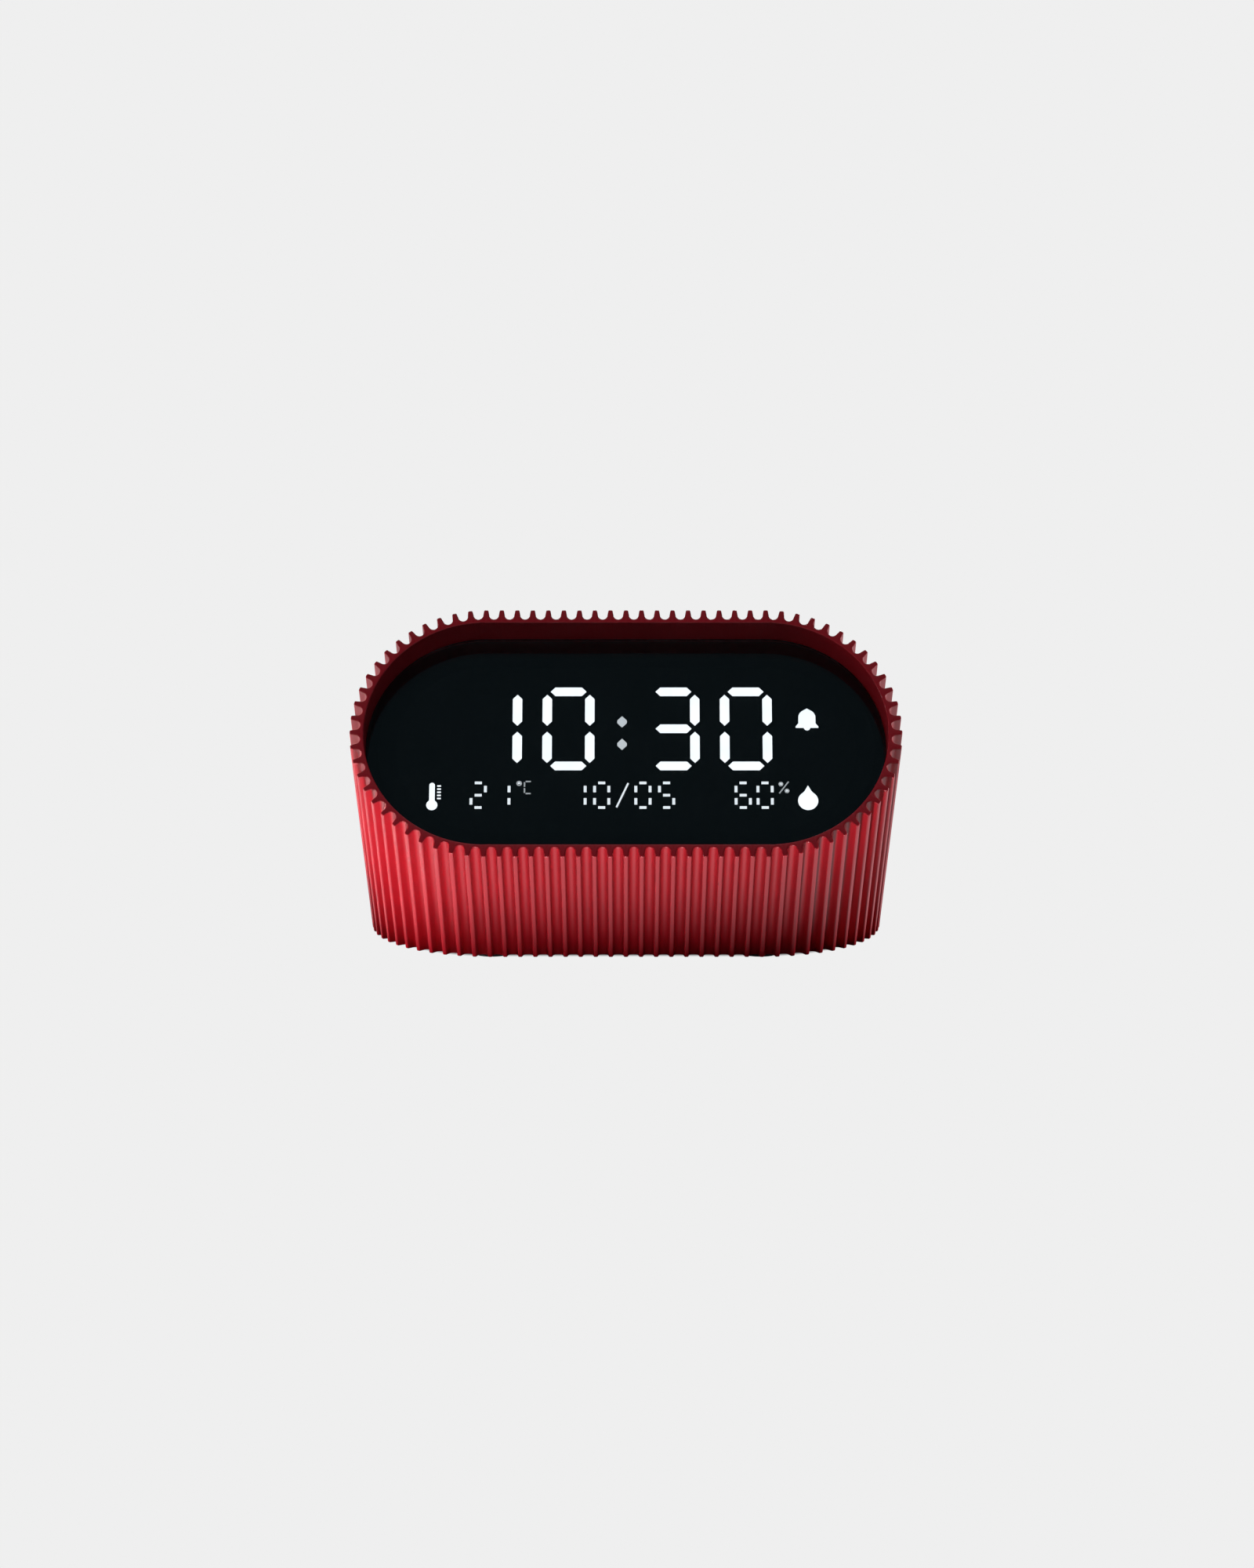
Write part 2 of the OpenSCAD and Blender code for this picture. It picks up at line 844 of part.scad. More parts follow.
module base_screws() {
    color("silver") for (q = BASE_SCREWS) translate([q[0], q[1], base_bottom + head_t]) screw(7);
}

module rubber_feet() {
    color("#161616") for (q = FEET) translate([q[0], q[1], 0]) cylinder(h = base_bottom, r = foot_r);
}

module ballast_plate() {
    color("#9a9da1") difference() {
        translate([ballast_x - ballast_w / 2, ballast_front, base_top])
            cube([ballast_w, ballast_rear - ballast_front, ballast_t]);
        for (q = BALLAST_SCREWS) translate([q[0], q[1], 0]) {
            cylinder(h = clock_w, r = clear_r);
            translate([0, 0, base_top + ballast_t - head_t]) cylinder(h = clock_w, r = head_r + head_room);
        }
    }
}

module ballast_screws() {
    top = base_top + ballast_t - head_t;
    foot = base_bottom + ballast_floor + 0.3;
    color("silver") for (q = BALLAST_SCREWS) translate([q[0], q[1], 0]) {
        translate([0, 0, top]) cylinder(h = head_t, r = head_r);
        translate([0, 0, foot]) cylinder(h = top - foot, r = shank_r);
    }
}

module main_board() {
    color("#1f3b2c") difference() {
        translate([MAIN_BOX[0][0], MAIN_BOX[0][1], main_bottom])
            cube([MAIN_BOX[1][0] - MAIN_BOX[0][0], MAIN_BOX[1][1] - MAIN_BOX[0][1], board_t]);
        for (q = POSTS) translate([q[0], q[1], 0]) cylinder(h = clock_w, r = clear_r);
    }
}

module board_screws() {
    color("silver") for (q = POSTS) translate([q[0], q[1], main_top]) {
        cylinder(h = head_t, r = head_r);
        translate([0, 0, -5]) cylinder(h = 5, r = shank_r);
    }
}

module microcontroller() {
    color("#1b1b1d") translate([-18, 30, main_top]) cube([10, 10, 1.2]);
}

module clock_crystal() {
    color("silver") translate([4, 34, main_top + 1]) rotate([0, 90, 0]) cylinder(h = 6, r = 1);
}

CAPACITORS = [[-22.5, 31.5], [-22.5, 38]];
module capacitors() {
    color("#2b2f57") for (q = CAPACITORS) translate([q[0], q[1], main_top]) cylinder(h = 6, r = 2.5);
}

// Outline of the inlet's shell, drawn in from its outside
module port_outline(inset) {
    stadium((port_w - port_h) / 2, port_h / 2 - inset);
}

module port_shell() {
    color("silver") difference() {
        toward_rear(port_back, port_front) translate([0, port_z]) port_outline(0);
        toward_rear(port_back + port_wall, port_front + 1) translate([0, port_z]) port_outline(port_wall);
    }
}

module port_tongue() {
    color("#1b1b1d") toward_rear(port_back + port_wall, port_front - 0.6) translate([0, port_z])
        square([6.7, 0.7], center = true);
}

module sounder() {
    color("#18181a") translate([SOUNDER[0], SOUNDER[1], base_top]) difference() {
        cylinder(h = sounder_t, r = sounder_r);
        translate([0, 0, -1]) cylinder(h = 2, r = 5.4);
    }
}

// Two leads: up from the sounder, round a quarter bend, then across to the main board
lead_r = 0.5;
lead_rise = 1;
lead_bend = 1;
lead_run = 8;
lead_gap = 2;
LEAD_START = SOUNDER + [4, 5];
module lead() {
    cylinder(h = lead_rise, r = lead_r);
    translate([lead_bend, 0, lead_rise]) rotate([90, 0, 0]) rotate([0, 0, 90])
        rotate_extrude(angle = 90) translate([lead_bend, 0]) circle(lead_r);
    translate([lead_bend, 0, lead_rise + lead_bend]) rotate([0, 90, 0]) cylinder(h = lead_run, r = lead_r);
}

module sounder_leads() {
    for (k = [0, 1]) color(k == 0 ? "red" : "black")
        translate([LEAD_START[0], LEAD_START[1] + lead_gap * k, base_top + sounder_t]) lead();
}

// ---- battery ----

module cell_holder() {
    color("#262629") translate([CELL[0], CELL[1], base_top]) difference() {
        cylinder(h = cell_z + cell_t + 1.2 - base_top, r = holder_r);
        translate([0, 0, -1]) cylinder(h = cell_z - base_top + 1, r = notch_r + 0.1);
        translate([0, 0, -1]) cylinder(h = cell_z + cell_t + 0.4 - base_top + 1, r = cell_r + 0.3);
    }
}

module coin_cell() {
    color("silver") translate([CELL[0], CELL[1], cell_z]) {
        cylinder(h = 0.5, r = cell_r - 1.2);
        translate([0, 0, 0.5]) cylinder(h = cell_t - 0.5, r = cell_r);
    }
}

// A leaf over the cell's lid and a strip against its rim
module cell_contacts() {
    color("gold") translate([CELL[0], CELL[1], cell_z]) {
        translate([-7, -1.5, cell_t + 0.05]) cube([14, 3, 0.3]);
        translate([cell_r + 0.02, -1.2, 0.6]) cube([0.2, 2.4, 2.4]);
    }
}

module battery_door() {
    color("#2a2a2d") translate([CELL[0], CELL[1], 0]) difference() {
        union() {
            translate([0, 0, base_bottom]) cylinder(h = lug_low + lug_t - base_bottom, r = door_r);
            for (s = [0, 180]) rotate(s) translate([0, 0, lug_low]) sector(lug_r, lug_angle, lug_t);
        }
        translate([-7, -0.9, 0]) cube([14, 1.8, base_bottom + 0.9]);
    }
}

ribbed_housing();
display_lens();
lens_tape();
reflector_block();
time_segments();
idle_segments();
colon_dots();
temperature_digits();
date_digits();
humidity_digits();
unit_marks();
bell_icon();
thermometer_icon();
drop_icon();
led_board();
led_chips();
led_driver();
display_screws();
ribbon_sockets();
ribbon_cable();
rear_panel();
panel_screws();
base_plate();
base_screws();
rubber_feet();
ballast_plate();
ballast_screws();
main_board();
board_screws();
microcontroller();
clock_crystal();
capacitors();
port_shell();
port_tongue();
alarm_switch_body();
alarm_switch_knob();
control_board();
control_screws();
header_pins();
sensor_chip();
tact_switches();
snooze_bar();
snooze_plungers();
set_button();
set_plunger();
alarm_button();
alarm_plunger();
minus_button();
minus_plunger();
plus_button();
plus_plunger();
sounder();
sounder_leads();
cell_holder();
coin_cell();
cell_contacts();
battery_door();
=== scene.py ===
"""Looks of the digital alarm clock: a ribbed red tube laid back at an angle, with a sunken
black display in its upper mouth and a charcoal rear panel, on a plain pale floor.

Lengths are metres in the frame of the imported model: x to the right, y from the display to the
rear, z up. Display outlines use x, v (up the display) and d (depth below the lip)."""

import json
import math

import bmesh
import bpy
import numpy as np
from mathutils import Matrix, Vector


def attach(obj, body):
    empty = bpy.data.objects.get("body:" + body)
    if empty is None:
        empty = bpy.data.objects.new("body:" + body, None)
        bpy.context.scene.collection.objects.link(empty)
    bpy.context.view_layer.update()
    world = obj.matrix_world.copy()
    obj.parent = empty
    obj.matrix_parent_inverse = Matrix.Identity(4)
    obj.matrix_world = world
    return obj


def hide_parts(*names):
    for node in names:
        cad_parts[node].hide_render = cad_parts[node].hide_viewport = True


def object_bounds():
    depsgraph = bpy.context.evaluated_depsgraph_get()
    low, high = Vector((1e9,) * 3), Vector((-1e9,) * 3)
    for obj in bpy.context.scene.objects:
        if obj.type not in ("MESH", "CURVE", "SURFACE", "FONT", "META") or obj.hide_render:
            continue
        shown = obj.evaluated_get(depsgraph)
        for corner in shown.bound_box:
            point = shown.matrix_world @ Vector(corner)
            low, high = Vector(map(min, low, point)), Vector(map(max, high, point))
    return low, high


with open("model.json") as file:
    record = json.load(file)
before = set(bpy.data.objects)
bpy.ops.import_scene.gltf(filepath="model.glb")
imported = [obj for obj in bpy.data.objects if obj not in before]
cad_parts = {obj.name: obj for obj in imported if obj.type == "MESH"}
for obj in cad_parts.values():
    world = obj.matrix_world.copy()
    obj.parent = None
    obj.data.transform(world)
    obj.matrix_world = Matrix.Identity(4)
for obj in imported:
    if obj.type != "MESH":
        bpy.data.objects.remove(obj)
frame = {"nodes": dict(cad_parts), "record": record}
cad_low, cad_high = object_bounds()
NODES = frame["nodes"]
RECORD = frame["record"]
MM = 0.001
FINE = 0.02 * MM
QUARTER = math.pi / 2

# ---- driving dimensions, the same as in the CAD design ----

TILT = math.radians(60.75)
RIB_PITCH = 3.347 * MM
STRAIGHT_RIBS = 18
END_RIBS = 26
RIB_DEPTH = 2.18 * MM
RIB_TIP = 1.0 * MM
TIP_ROUND = 0.3 * MM
GROOVE_R = 1.03 * MM
WALL = 0.8 * MM
FOOT_PROUD = 0.8 * MM
LENS_DROP = 8.0 * MM
LENS_T = 1.5 * MM
TAPE_T = 0.4 * MM
LEDGE_T = 2.2 * MM
LEDGE_W = 2.8 * MM
PANEL_DROP = 2.0 * MM
BUTTON_R = 3.5 * MM
BUTTON_PROUD = 1.2 * MM

SIN_T = math.sin(TILT)
COS_T = math.cos(TILT)
HALF = STRAIGHT_RIBS * RIB_PITCH / 2
TIP_R = (cad_high.x - cad_low.x) / 2 - HALF
BORE_R = TIP_R - RIB_DEPTH - WALL
REAR_Y = cad_high.y
PANEL_Y = REAR_Y - PANEL_DROP
LIP = Vector((0, cad_low.y + TIP_R * COS_T, cad_high.z - TIP_R * SIN_T))
LENS_BACK = LENS_DROP + LENS_T
LEDGE_TOP = LENS_BACK + TAPE_T


def in_display(x, v, d):
    """A point of the display frame, in the frame of the model."""
    return (x, LIP.y + v * COS_T + d * SIN_T, LIP.z + v * SIN_T - d * COS_T)


# ---- mesh tools ----


class Shape:
    """Collects closed skins, then makes them one mesh object."""

    def __init__(self):
        self.verts = []
        self.faces = []

    def add(self, loops, ring=False):
        """Quads between loops of equal length.

        A ring joins the last loop to the first; otherwise both ends are capped."""
        start = len(self.verts)
        count = len(loops[0])
        for loop in loops:
            self.verts.extend(loop)
        pairs = len(loops) if ring else len(loops) - 1
        for k in range(pairs):
            here = start + k * count
            there = start + ((k + 1) % len(loops)) * count
            for i in range(count):
                j = (i + 1) % count
                self.faces.append((here + i, here + j, there + j, there + i))
        if not ring:
            last = start + (len(loops) - 1) * count
            self.faces.append(tuple(range(start, start + count)))
            self.faces.append(tuple(range(last, last + count)))
        return self

    def build(self, name, sharp=35):
        """Makes the object, with all faces turned outward."""
        mesh = bpy.data.meshes.new(name)
        mesh.from_pydata(self.verts, [], self.faces)
        bm = bmesh.new()
        bm.from_mesh(mesh)
        bmesh.ops.recalc_face_normals(bm, faces=bm.faces)
        bm.to_mesh(mesh)
        bm.free()
        return place_object(name, mesh, sharp)


def place_object(name, mesh, sharp):
    """An object for a mesh, shaded smooth but for edges over a number of degrees."""
    obj = bpy.data.objects.new(name, mesh)
    bpy.context.scene.collection.objects.link(obj)
    mesh.polygons.foreach_set("use_smooth", [True] * len(mesh.polygons))
    mesh.set_sharp_from_angle(angle=math.radians(sharp))
    weighted = obj.modifiers.new("weighted", "WEIGHTED_NORMAL")
    weighted.keep_sharp = True
    return obj


def arc(steps, first=0.0, last=QUARTER):
    """Angles from first to last in equal steps."""
    return [first + (last - first) * k / steps for k in range(steps + 1)]


def stadium(half, radius, steps=24):
    """Outline of two half circles joined by straights, as a function of how far it is drawn in."""

    def outline(inset):
        r = radius - inset
        right = [(half + r * math.sin(a), r * math.cos(a)) for a in arc(steps, 0, math.pi)]
        return right + [(-x, -y) for x, y in right]

    return outline


def circle(radius, steps=48):
    """A circle as a function of how far it is drawn in."""

    def outline(inset):
        turn = [2 * math.pi * k / steps for k in range(steps)]
        return [((radius - inset) * math.sin(a), (radius - inset) * math.cos(a)) for a in turn]

    return outline


def box_outline(width, height, corner, steps=5):
    """A rectangle with round corners as a function of how far it is drawn in."""

    def outline(inset):
        r = max(corner - inset, FINE)
        w = width / 2 - inset - r
        h = height / 2 - inset - r
        points = []
        for k, (sx, sy) in enumerate([(1, 1), (1, -1), (-1, -1), (-1, 1)]):
            for a in arc(steps, k * QUARTER, (k + 1) * QUARTER):
                points.append((sx * w + r * math.sin(a), sy * h + r * math.cos(a)))
        return points

    return outline


def rounded(low, high, low_round, high_round, steps=4):
    """Side profile, (inset, height), of a body with a rounded lower and upper edge."""
    profile = []
    for a in arc(steps):
        profile.append((low_round * (1 - math.sin(a)), low + low_round * (1 - math.cos(a))))
    for a in arc(steps):
        profile.append((high_round * (1 - math.cos(a)), high - high_round * (1 - math.sin(a))))
    return profile


def body_loops(outline, profile, put):
    """Loops of an outline at each step of a profile, placed by put(a, b, height)."""
    return [[put(a, b, height) for a, b in outline(inset)] for inset, height in profile]


def toward_rear(x, z):
    """Places an upright outline round (x, z); its height is y."""
    return lambda a, b, height: (x + a, height, z + b)


def upright(x, y):
    """Places a level outline round (x, y); its height is z."""
    return lambda a, b, height: (x + a, y + b, height)


def below_lip(x=0.0, v=0.0):
    """Places a display outline round (x, v); its height is the depth below the lip."""
    return lambda a, b, height: in_display(x + a, v + b, height)


def body_of_node(node):
    """The body that a CAD node belongs to."""
    bodies = RECORD["behaviour"]["bodies"]
    return next(body for body, members in bodies.items() if node in members)


def stand_for(obj, node, material):
    """obj takes the place of a CAD node, on the same body, with the given material."""
    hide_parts(node)
    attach(obj, body_of_node(node))
    obj.data.materials.clear()
    obj.data.materials.append(material)


def add_piece(obj, body, material):
    """obj is an extra piece on a body."""
    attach(obj, body)
    obj.data.materials.append(material)


def softened(node, width, material):
    """A copy of a CAD node's shape with its hard edges rounded, standing for the node."""
    bm = bmesh.new()
    bm.from_mesh(NODES[node].data)
    bmesh.ops.remove_doubles(bm, verts=bm.verts, dist=1e-6)
    bmesh.ops.dissolve_limit(bm, angle_limit=math.radians(0.5), verts=bm.verts, edges=bm.edges)
    paired = [edge for edge in bm.edges if len(edge.link_faces) == 2]
    hard = [edge for edge in paired if edge.calc_face_angle(0) > math.radians(30)]
    bmesh.ops.bevel(bm, geom=hard, offset=width, offset_type="OFFSET", segments=2, profile=0.5,
                    affect="EDGES", clamp_overlap=True)
    mesh = bpy.data.meshes.new(node + "_fine")
    bm.to_mesh(mesh)
    bm.free()
    stand_for(place_object(node + "_fine", mesh, 40), node, material)


# ---- materials ----


def span(tree, value, start, end, low, high):
    """A number that runs from low to high as value runs from start to end."""
    made = tree.nodes.new("ShaderNodeMapRange")
    for key, number in (("From Min", start), ("From Max", end), ("To Min", low), ("To Max", high)):
        made.inputs[key].default_value = number
    tree.links.new(value, made.inputs["Value"])
    return made.outputs["Result"]


class Surface:
    """A procedural material round one Principled shader."""

    def __init__(self, name, **values):
        self.material = bpy.data.materials.new(name)
        self.material.use_nodes = True
        self.tree = self.material.node_tree
        self.shader = self.tree.nodes["Principled BSDF"]
        for key, value in values.items():
            self.shader.inputs[key.replace("_", " ")].default_value = value
        self.place = self.tree.nodes.new("ShaderNodeTexCoord").outputs["Object"]

    def node(self, kind, **values):
        made = self.tree.nodes.new(kind)
        for key, value in values.items():
            made.inputs[key].default_value = value
        return made

    def link(self, output, target):
        self.tree.links.new(output, target)

    def noise(self, scale, detail=3.0, stretch=None):
        """Noise over the object's own coordinates, with a scale per metre."""
        made = self.node("ShaderNodeTexNoise", Scale=scale, Detail=detail)
        source = self.place
        if stretch:
            mapping = self.node("ShaderNodeMapping")
            mapping.inputs["Scale"].default_value = stretch
            self.link(source, mapping.inputs["Vector"])
            source = mapping.outputs["Vector"]
        self.link(source, made.inputs["Vector"])
        return made.outputs["Fac"]

    def ramp(self, value, low, high, start=0.3, end=0.7):
        return span(self.tree, value, start, end, low, high)

    def blend(self, value, first, second):
        """A colour that runs from first to second as value runs from 0 to 1."""
        made = self.tree.nodes.new("ShaderNodeMix")
        made.data_type = "RGBA"
        colours = [socket for socket in made.inputs if socket.type == "RGBA"]
        for socket, colour in zip(colours, (first, second)):
            socket.default_value = (*colour, 1)
        self.link(value, made.inputs["Factor"])
        return next(socket for socket in made.outputs if socket.type == "RGBA")

    def colour(self, value, first, second):
        self.link(self.blend(value, first, second), self.shader.inputs["Base Color"])

    def roughness(self, value, low, high):
        self.link(self.ramp(value, low, high), self.shader.inputs["Roughness"])

    def bump(self, value, height, strength=1.0):
        """Bumps of a height in metres."""
        made = self.node("ShaderNodeBump", Strength=strength, Distance=height)
        self.link(value, made.inputs["Height"])
        self.link(made.outputs["Normal"], self.shader.inputs["Normal"])


def moulded(name, dark, light, rough_low, rough_high, grain=2500, height=0.02 * MM, **values):
    """Moulded plastic or rubber: broad tone changes, fine grain in the gloss and the surface."""
    surface = Surface(name, **values)
    surface.colour(surface.ramp(surface.noise(40), 0, 1), dark, light)
    fine = surface.noise(grain)
    surface.roughness(fine, rough_low, rough_high)
    surface.bump(fine, height)
    return surface.material


def metal(name, dark, light, rough_low, rough_high, stretch=(1, 1, 1)):
    """Plated or bare metal: faint tone changes and fine scratches, drawn out by stretch."""
    surface = Surface(name, Metallic=1.0)
    surface.colour(surface.ramp(surface.noise(300, stretch=stretch), 0, 1), dark, light)
    fine = surface.noise(4000, stretch=stretch)
    surface.roughness(fine, rough_low, rough_high)
    surface.bump(fine, 0.004 * MM)
    return surface.material


def lit(name, dim, bright, strength):
    """A lit diffuser with faint unevenness."""
    surface = Surface(name, Roughness=0.6)
    soft = surface.ramp(surface.noise(260), 0, 1)
    surface.colour(soft, (0.75, 0.75, 0.75), (0.8, 0.8, 0.8))
    surface.link(surface.blend(soft, dim, bright), surface.shader.inputs["Emission Color"])
    surface.shader.inputs["Emission Strength"].default_value = strength
    return surface.material


def solder_mask(name, field, trace):
    """Circuit board: traces show as slightly paler lines under the mask."""
    surface = Surface(name, Roughness=0.32)
    bricks = surface.node("ShaderNodeTexBrick", Scale=260.0)
    bricks.inputs["Mortar Size"].default_value = 0.12
    bricks.inputs["Color1"].default_value = (0, 0, 0, 1)
    bricks.inputs["Color2"].default_value = (0, 0, 0, 1)
    bricks.inputs["Mortar"].default_value = (1, 1, 1, 1)
    surface.link(surface.place, bricks.inputs["Vector"])
    surface.colour(bricks.outputs["Color"], field, trace)
    surface.bump(bricks.outputs["Color"], 0.02 * MM)
    return surface.material


def lens_material():
    """Clear acrylic with a smoke tint."""
    surface = Surface("smoked_acrylic", Roughness=0.0, IOR=1.49)
    surface.shader.inputs["Transmission Weight"].default_value = 1.0
    tone = surface.ramp(surface.noise(25), 0, 1)
    surface.colour(tone, (0.30, 0.325, 0.34), (0.32, 0.345, 0.36))
    return surface.material


red = moulded("satin_red", (0.42, 0.004, 0.013), (0.48, 0.005, 0.016), 0.37, 0.42, grain=3000,
              height=0.003 * MM, Specular_IOR_Level=0.5)
charcoal = moulded("spark_charcoal", (0.026, 0.026, 0.028), (0.034, 0.034, 0.037), 0.5, 0.7,
                   grain=1800, height=0.05 * MM)
soft_touch = moulded("soft_charcoal", (0.045, 0.045, 0.05), (0.055, 0.055, 0.06), 0.55, 0.68)
rubber = moulded("foot_rubber_black", (0.014, 0.014, 0.014), (0.022, 0.022, 0.022), 0.75, 0.9)
black = moulded("moulded_black", (0.008, 0.008, 0.009), (0.014, 0.014, 0.015), 0.5, 0.65)
foam = moulded("foam_tape", (0.010, 0.010, 0.010), (0.02, 0.02, 0.02), 0.85, 0.98, height=0.06 * MM)
ink = moulded("black_ink", (0.003, 0.003, 0.004), (0.004, 0.004, 0.005), 0.45, 0.6)
epoxy = moulded("chip_epoxy", (0.014, 0.014, 0.015), (0.024, 0.024, 0.026), 0.45, 0.6)
ivory = moulded("nylon_ivory", (0.70, 0.66, 0.55), (0.78, 0.75, 0.66), 0.4, 0.5)
pale = moulded("ribbon_film", (0.66, 0.69, 0.71), (0.74, 0.76, 0.78), 0.3, 0.4)
phosphor = moulded("chip_phosphor", (0.78, 0.66, 0.24), (0.86, 0.76, 0.36), 0.35, 0.45)
sleeve = moulded("capacitor_sleeve", (0.02, 0.03, 0.12), (0.035, 0.045, 0.18), 0.25, 0.35)
wire_red = moulded("wire_red", (0.34, 0.015, 0.015), (0.42, 0.02, 0.02), 0.35, 0.45)
white_print = moulded("white_print", (0.62, 0.63, 0.64), (0.70, 0.71, 0.72), 0.5, 0.6)
zinc = metal("zinc_plate", (0.50, 0.51, 0.53), (0.62, 0.63, 0.64), 0.28, 0.42)
steel = metal("raw_steel", (0.42, 0.43, 0.44), (0.52, 0.53, 0.54), 0.35, 0.5, stretch=(1, 12, 1))
gold = metal("gold_plate", (0.72, 0.52, 0.20), (0.82, 0.62, 0.28), 0.22, 0.32)
board = solder_mask("solder_mask", (0.012, 0.075, 0.035), (0.02, 0.12, 0.055))
smoke = lens_material()
white_light = lit("white_light", (0.93, 0.95, 0.98), (1.0, 1.0, 1.0), 3.4)
small_light = lit("small_light", (0.93, 0.95, 0.98), (1.0, 1.0, 1.0), 2.7)
grey_light = lit("grey_light", (0.94, 0.96, 0.98), (1.0, 1.0, 1.0), 1.75)
faint_light = lit("faint_light", (0.94, 0.96, 0.98), (1.0, 1.0, 1.0), 1.1)
unlit = moulded("unlit_diffuser", (0.010, 0.010, 0.011), (0.013, 0.013, 0.015), 0.55, 0.7)

# ---- housing ----

LIP_ROUND = 0.28 * MM
BORE_ROUND = 0.3 * MM
END_ROUND = 0.3 * MM
BOSS_R = 3.0 * MM
PILOT_R = 1.15 * MM
BOSS_SET_IN = 0.15 * MM
DISPLAY_BOSS_ANGLE = math.radians(40)
BLOCK_GAP = 0.1 * MM
BLOCK_T = 9.0 * MM
BLOCK_BOTTOM = LENS_BACK + BLOCK_GAP + BLOCK_T
WEB_T = 1.6 * MM
WEB_SET_IN = WALL / 3
BASE_BOTTOM = 1.2 * MM
BASE_TOP = 3.2 * MM
BASE_BOSS_TOP = 12.0 * MM
PANEL_T = 2.0 * MM
PANEL_IN = PANEL_Y - PANEL_T
PANEL_BOSS_LENGTH = 10.0 * MM
BASE_SCREWS = [(x * MM, y * MM) for x, y in [(-20, 4.5), (20, 4.5), (-46, 42), (46, 42)]]
PANEL_SCREWS = [(x * MM, 12 * MM) for x in (-50, 50)]


def rib_profile():
    """Offsets from a rib's centre and depths below its tip, from the left groove to the right one."""

    def groove(side, a):
        offset = RIB_PITCH / 2 - GROOVE_R * math.cos(a)
        return side * offset, RIB_DEPTH - GROOVE_R * (1 - math.sin(a))

    def tip(side, a):
        offset = RIB_TIP / 2 - TIP_ROUND * (1 - math.cos(a))
        return side * offset, TIP_ROUND * (1 - math.sin(a))

    valley = arc(6)
    crown = arc(4)
    return (
        [groove(-1, a) for a in reversed(valley[:-1])]
        + [tip(-1, a) for a in crown]
        + [tip(1, a) for a in reversed(crown)]
        + [groove(1, a) for a in valley]
    )


def rib_ring(radius_at):
    """A loop round the tube, with a point for each point of each rib at a radius set by its depth."""
    profile = rib_profile()
    step = math.pi / END_RIBS
    half_ring = []
    for k in range(STRAIGHT_RIBS):
        half_ring += [(k * RIB_PITCH - HALF + offset, radius_at(depth)) for offset, depth in profile]
    for k in range(END_RIBS):
        for offset, depth in profile:
            a = step * (k + offset / RIB_PITCH)
            half_ring.append((HALF + radius_at(depth) * math.sin(a), radius_at(depth) * math.cos(a)))
    half_ring = np.array(half_ring)
    return np.vstack([half_ring, -half_ring])


def drawn_in(ring, distance):
    """The ring moved into the material by a distance."""
    along = np.roll(ring, -1, axis=0) - np.roll(ring, 1, axis=0)
    along /= np.linalg.norm(along, axis=1, keepdims=True)
    return ring + distance * np.column_stack([along[:, 1], -along[:, 0]])


def end_depth(v):
    """Depth at which the tube meets the plane of the rib ends or of the rear rim."""
    to_ground = (LIP.z + v * SIN_T - FOOT_PROUD) / COS_T
    to_rear = (REAR_Y - LIP.y - v * COS_T) / SIN_T
    return np.minimum(to_ground, to_rear)


def ring_at(ring, depth):
    """The ring placed in the model's frame at a depth below the lip."""
    depths = np.broadcast_to(depth, len(ring))
    return [in_display(x, v, d) for (x, v), d in zip(ring.tolist(), depths.tolist())]


def housing_wall(shape):
    """The ribbed tube: outside, ends, bore and the ledge that carries the display."""
    outer = rib_ring(lambda depth: TIP_R - depth)
    inner = rib_ring(lambda depth: BORE_R)
    ledge = rib_ring(lambda depth: BORE_R - LEDGE_W)
    loops = []
    for a in arc(4):
        ring = drawn_in(outer, LIP_ROUND * (1 - math.sin(a)))
        loops.append(ring_at(ring, LIP_ROUND * (1 - math.cos(a))))
    for a in arc(3):
        ring = drawn_in(outer, END_ROUND * (1 - math.cos(a)))
        loops.append(ring_at(ring, end_depth(ring[:, 1]) - END_ROUND * (1 - math.sin(a)) / COS_T))
    loops.append(ring_at(inner, end_depth(inner[:, 1])))
    under = LEDGE_TOP + LEDGE_T
    for ring, depth in [(inner, under), (ledge, under), (ledge, LEDGE_TOP), (inner, LEDGE_TOP)]:
        loops.append(ring_at(ring, depth))
    for a in arc(3):
        ring = rib_ring(lambda depth: BORE_R + BORE_ROUND * (1 - math.cos(a)))
        loops.append(ring_at(ring, BORE_ROUND * (1 - math.sin(a))))
    shape.add(loops, ring=True)


def tube_boss(shape, radius, bore, low, high, put):
    """A round boss with a pilot hole, as one ring-shaped skin."""
    wall = radius - bore
    profile = [(0, low), (0, high), (wall, high), (wall, low)]
    shape.add(body_loops(circle(radius), profile, put), ring=True)


def wall_x(y, z):
    """Distance from the middle to just inside the material of the bore's side wall."""
    v = (y - LIP.y) * COS_T + (z - LIP.z) * SIN_T
    return HALF + math.sqrt(BORE_R**2 - v**2) + WEB_SET_IN


def front_wall_y(z):
    """The y just inside the material of the bore's front wall, at a height."""
    return LIP.y - (BORE_R + (z - LIP.z) * SIN_T) / COS_T - WEB_SET_IN


def prism(shape, corners, middle, put):
    """A web: a flat outline given a thickness about a middle plane."""
    shape.add([[put(a, b, middle + side * WEB_T / 2) for a, b in corners] for side in (-1, 1)])


def display_bosses(shape):
    """Bosses behind the ledge: one in the middle of each straight and two at each end."""
    reach = BORE_R - BOSS_R + BOSS_SET_IN
    places = [(0, reach)]
    for a in (-DISPLAY_BOSS_ANGLE, DISPLAY_BOSS_ANGLE):
        places.append((HALF + reach * math.cos(a), reach * math.sin(a)))
    for side in (-1, 1):
        for x, v in places:
            tube_boss(shape, BOSS_R, PILOT_R, LEDGE_TOP, BLOCK_BOTTOM, below_lip(side * x, side * v))


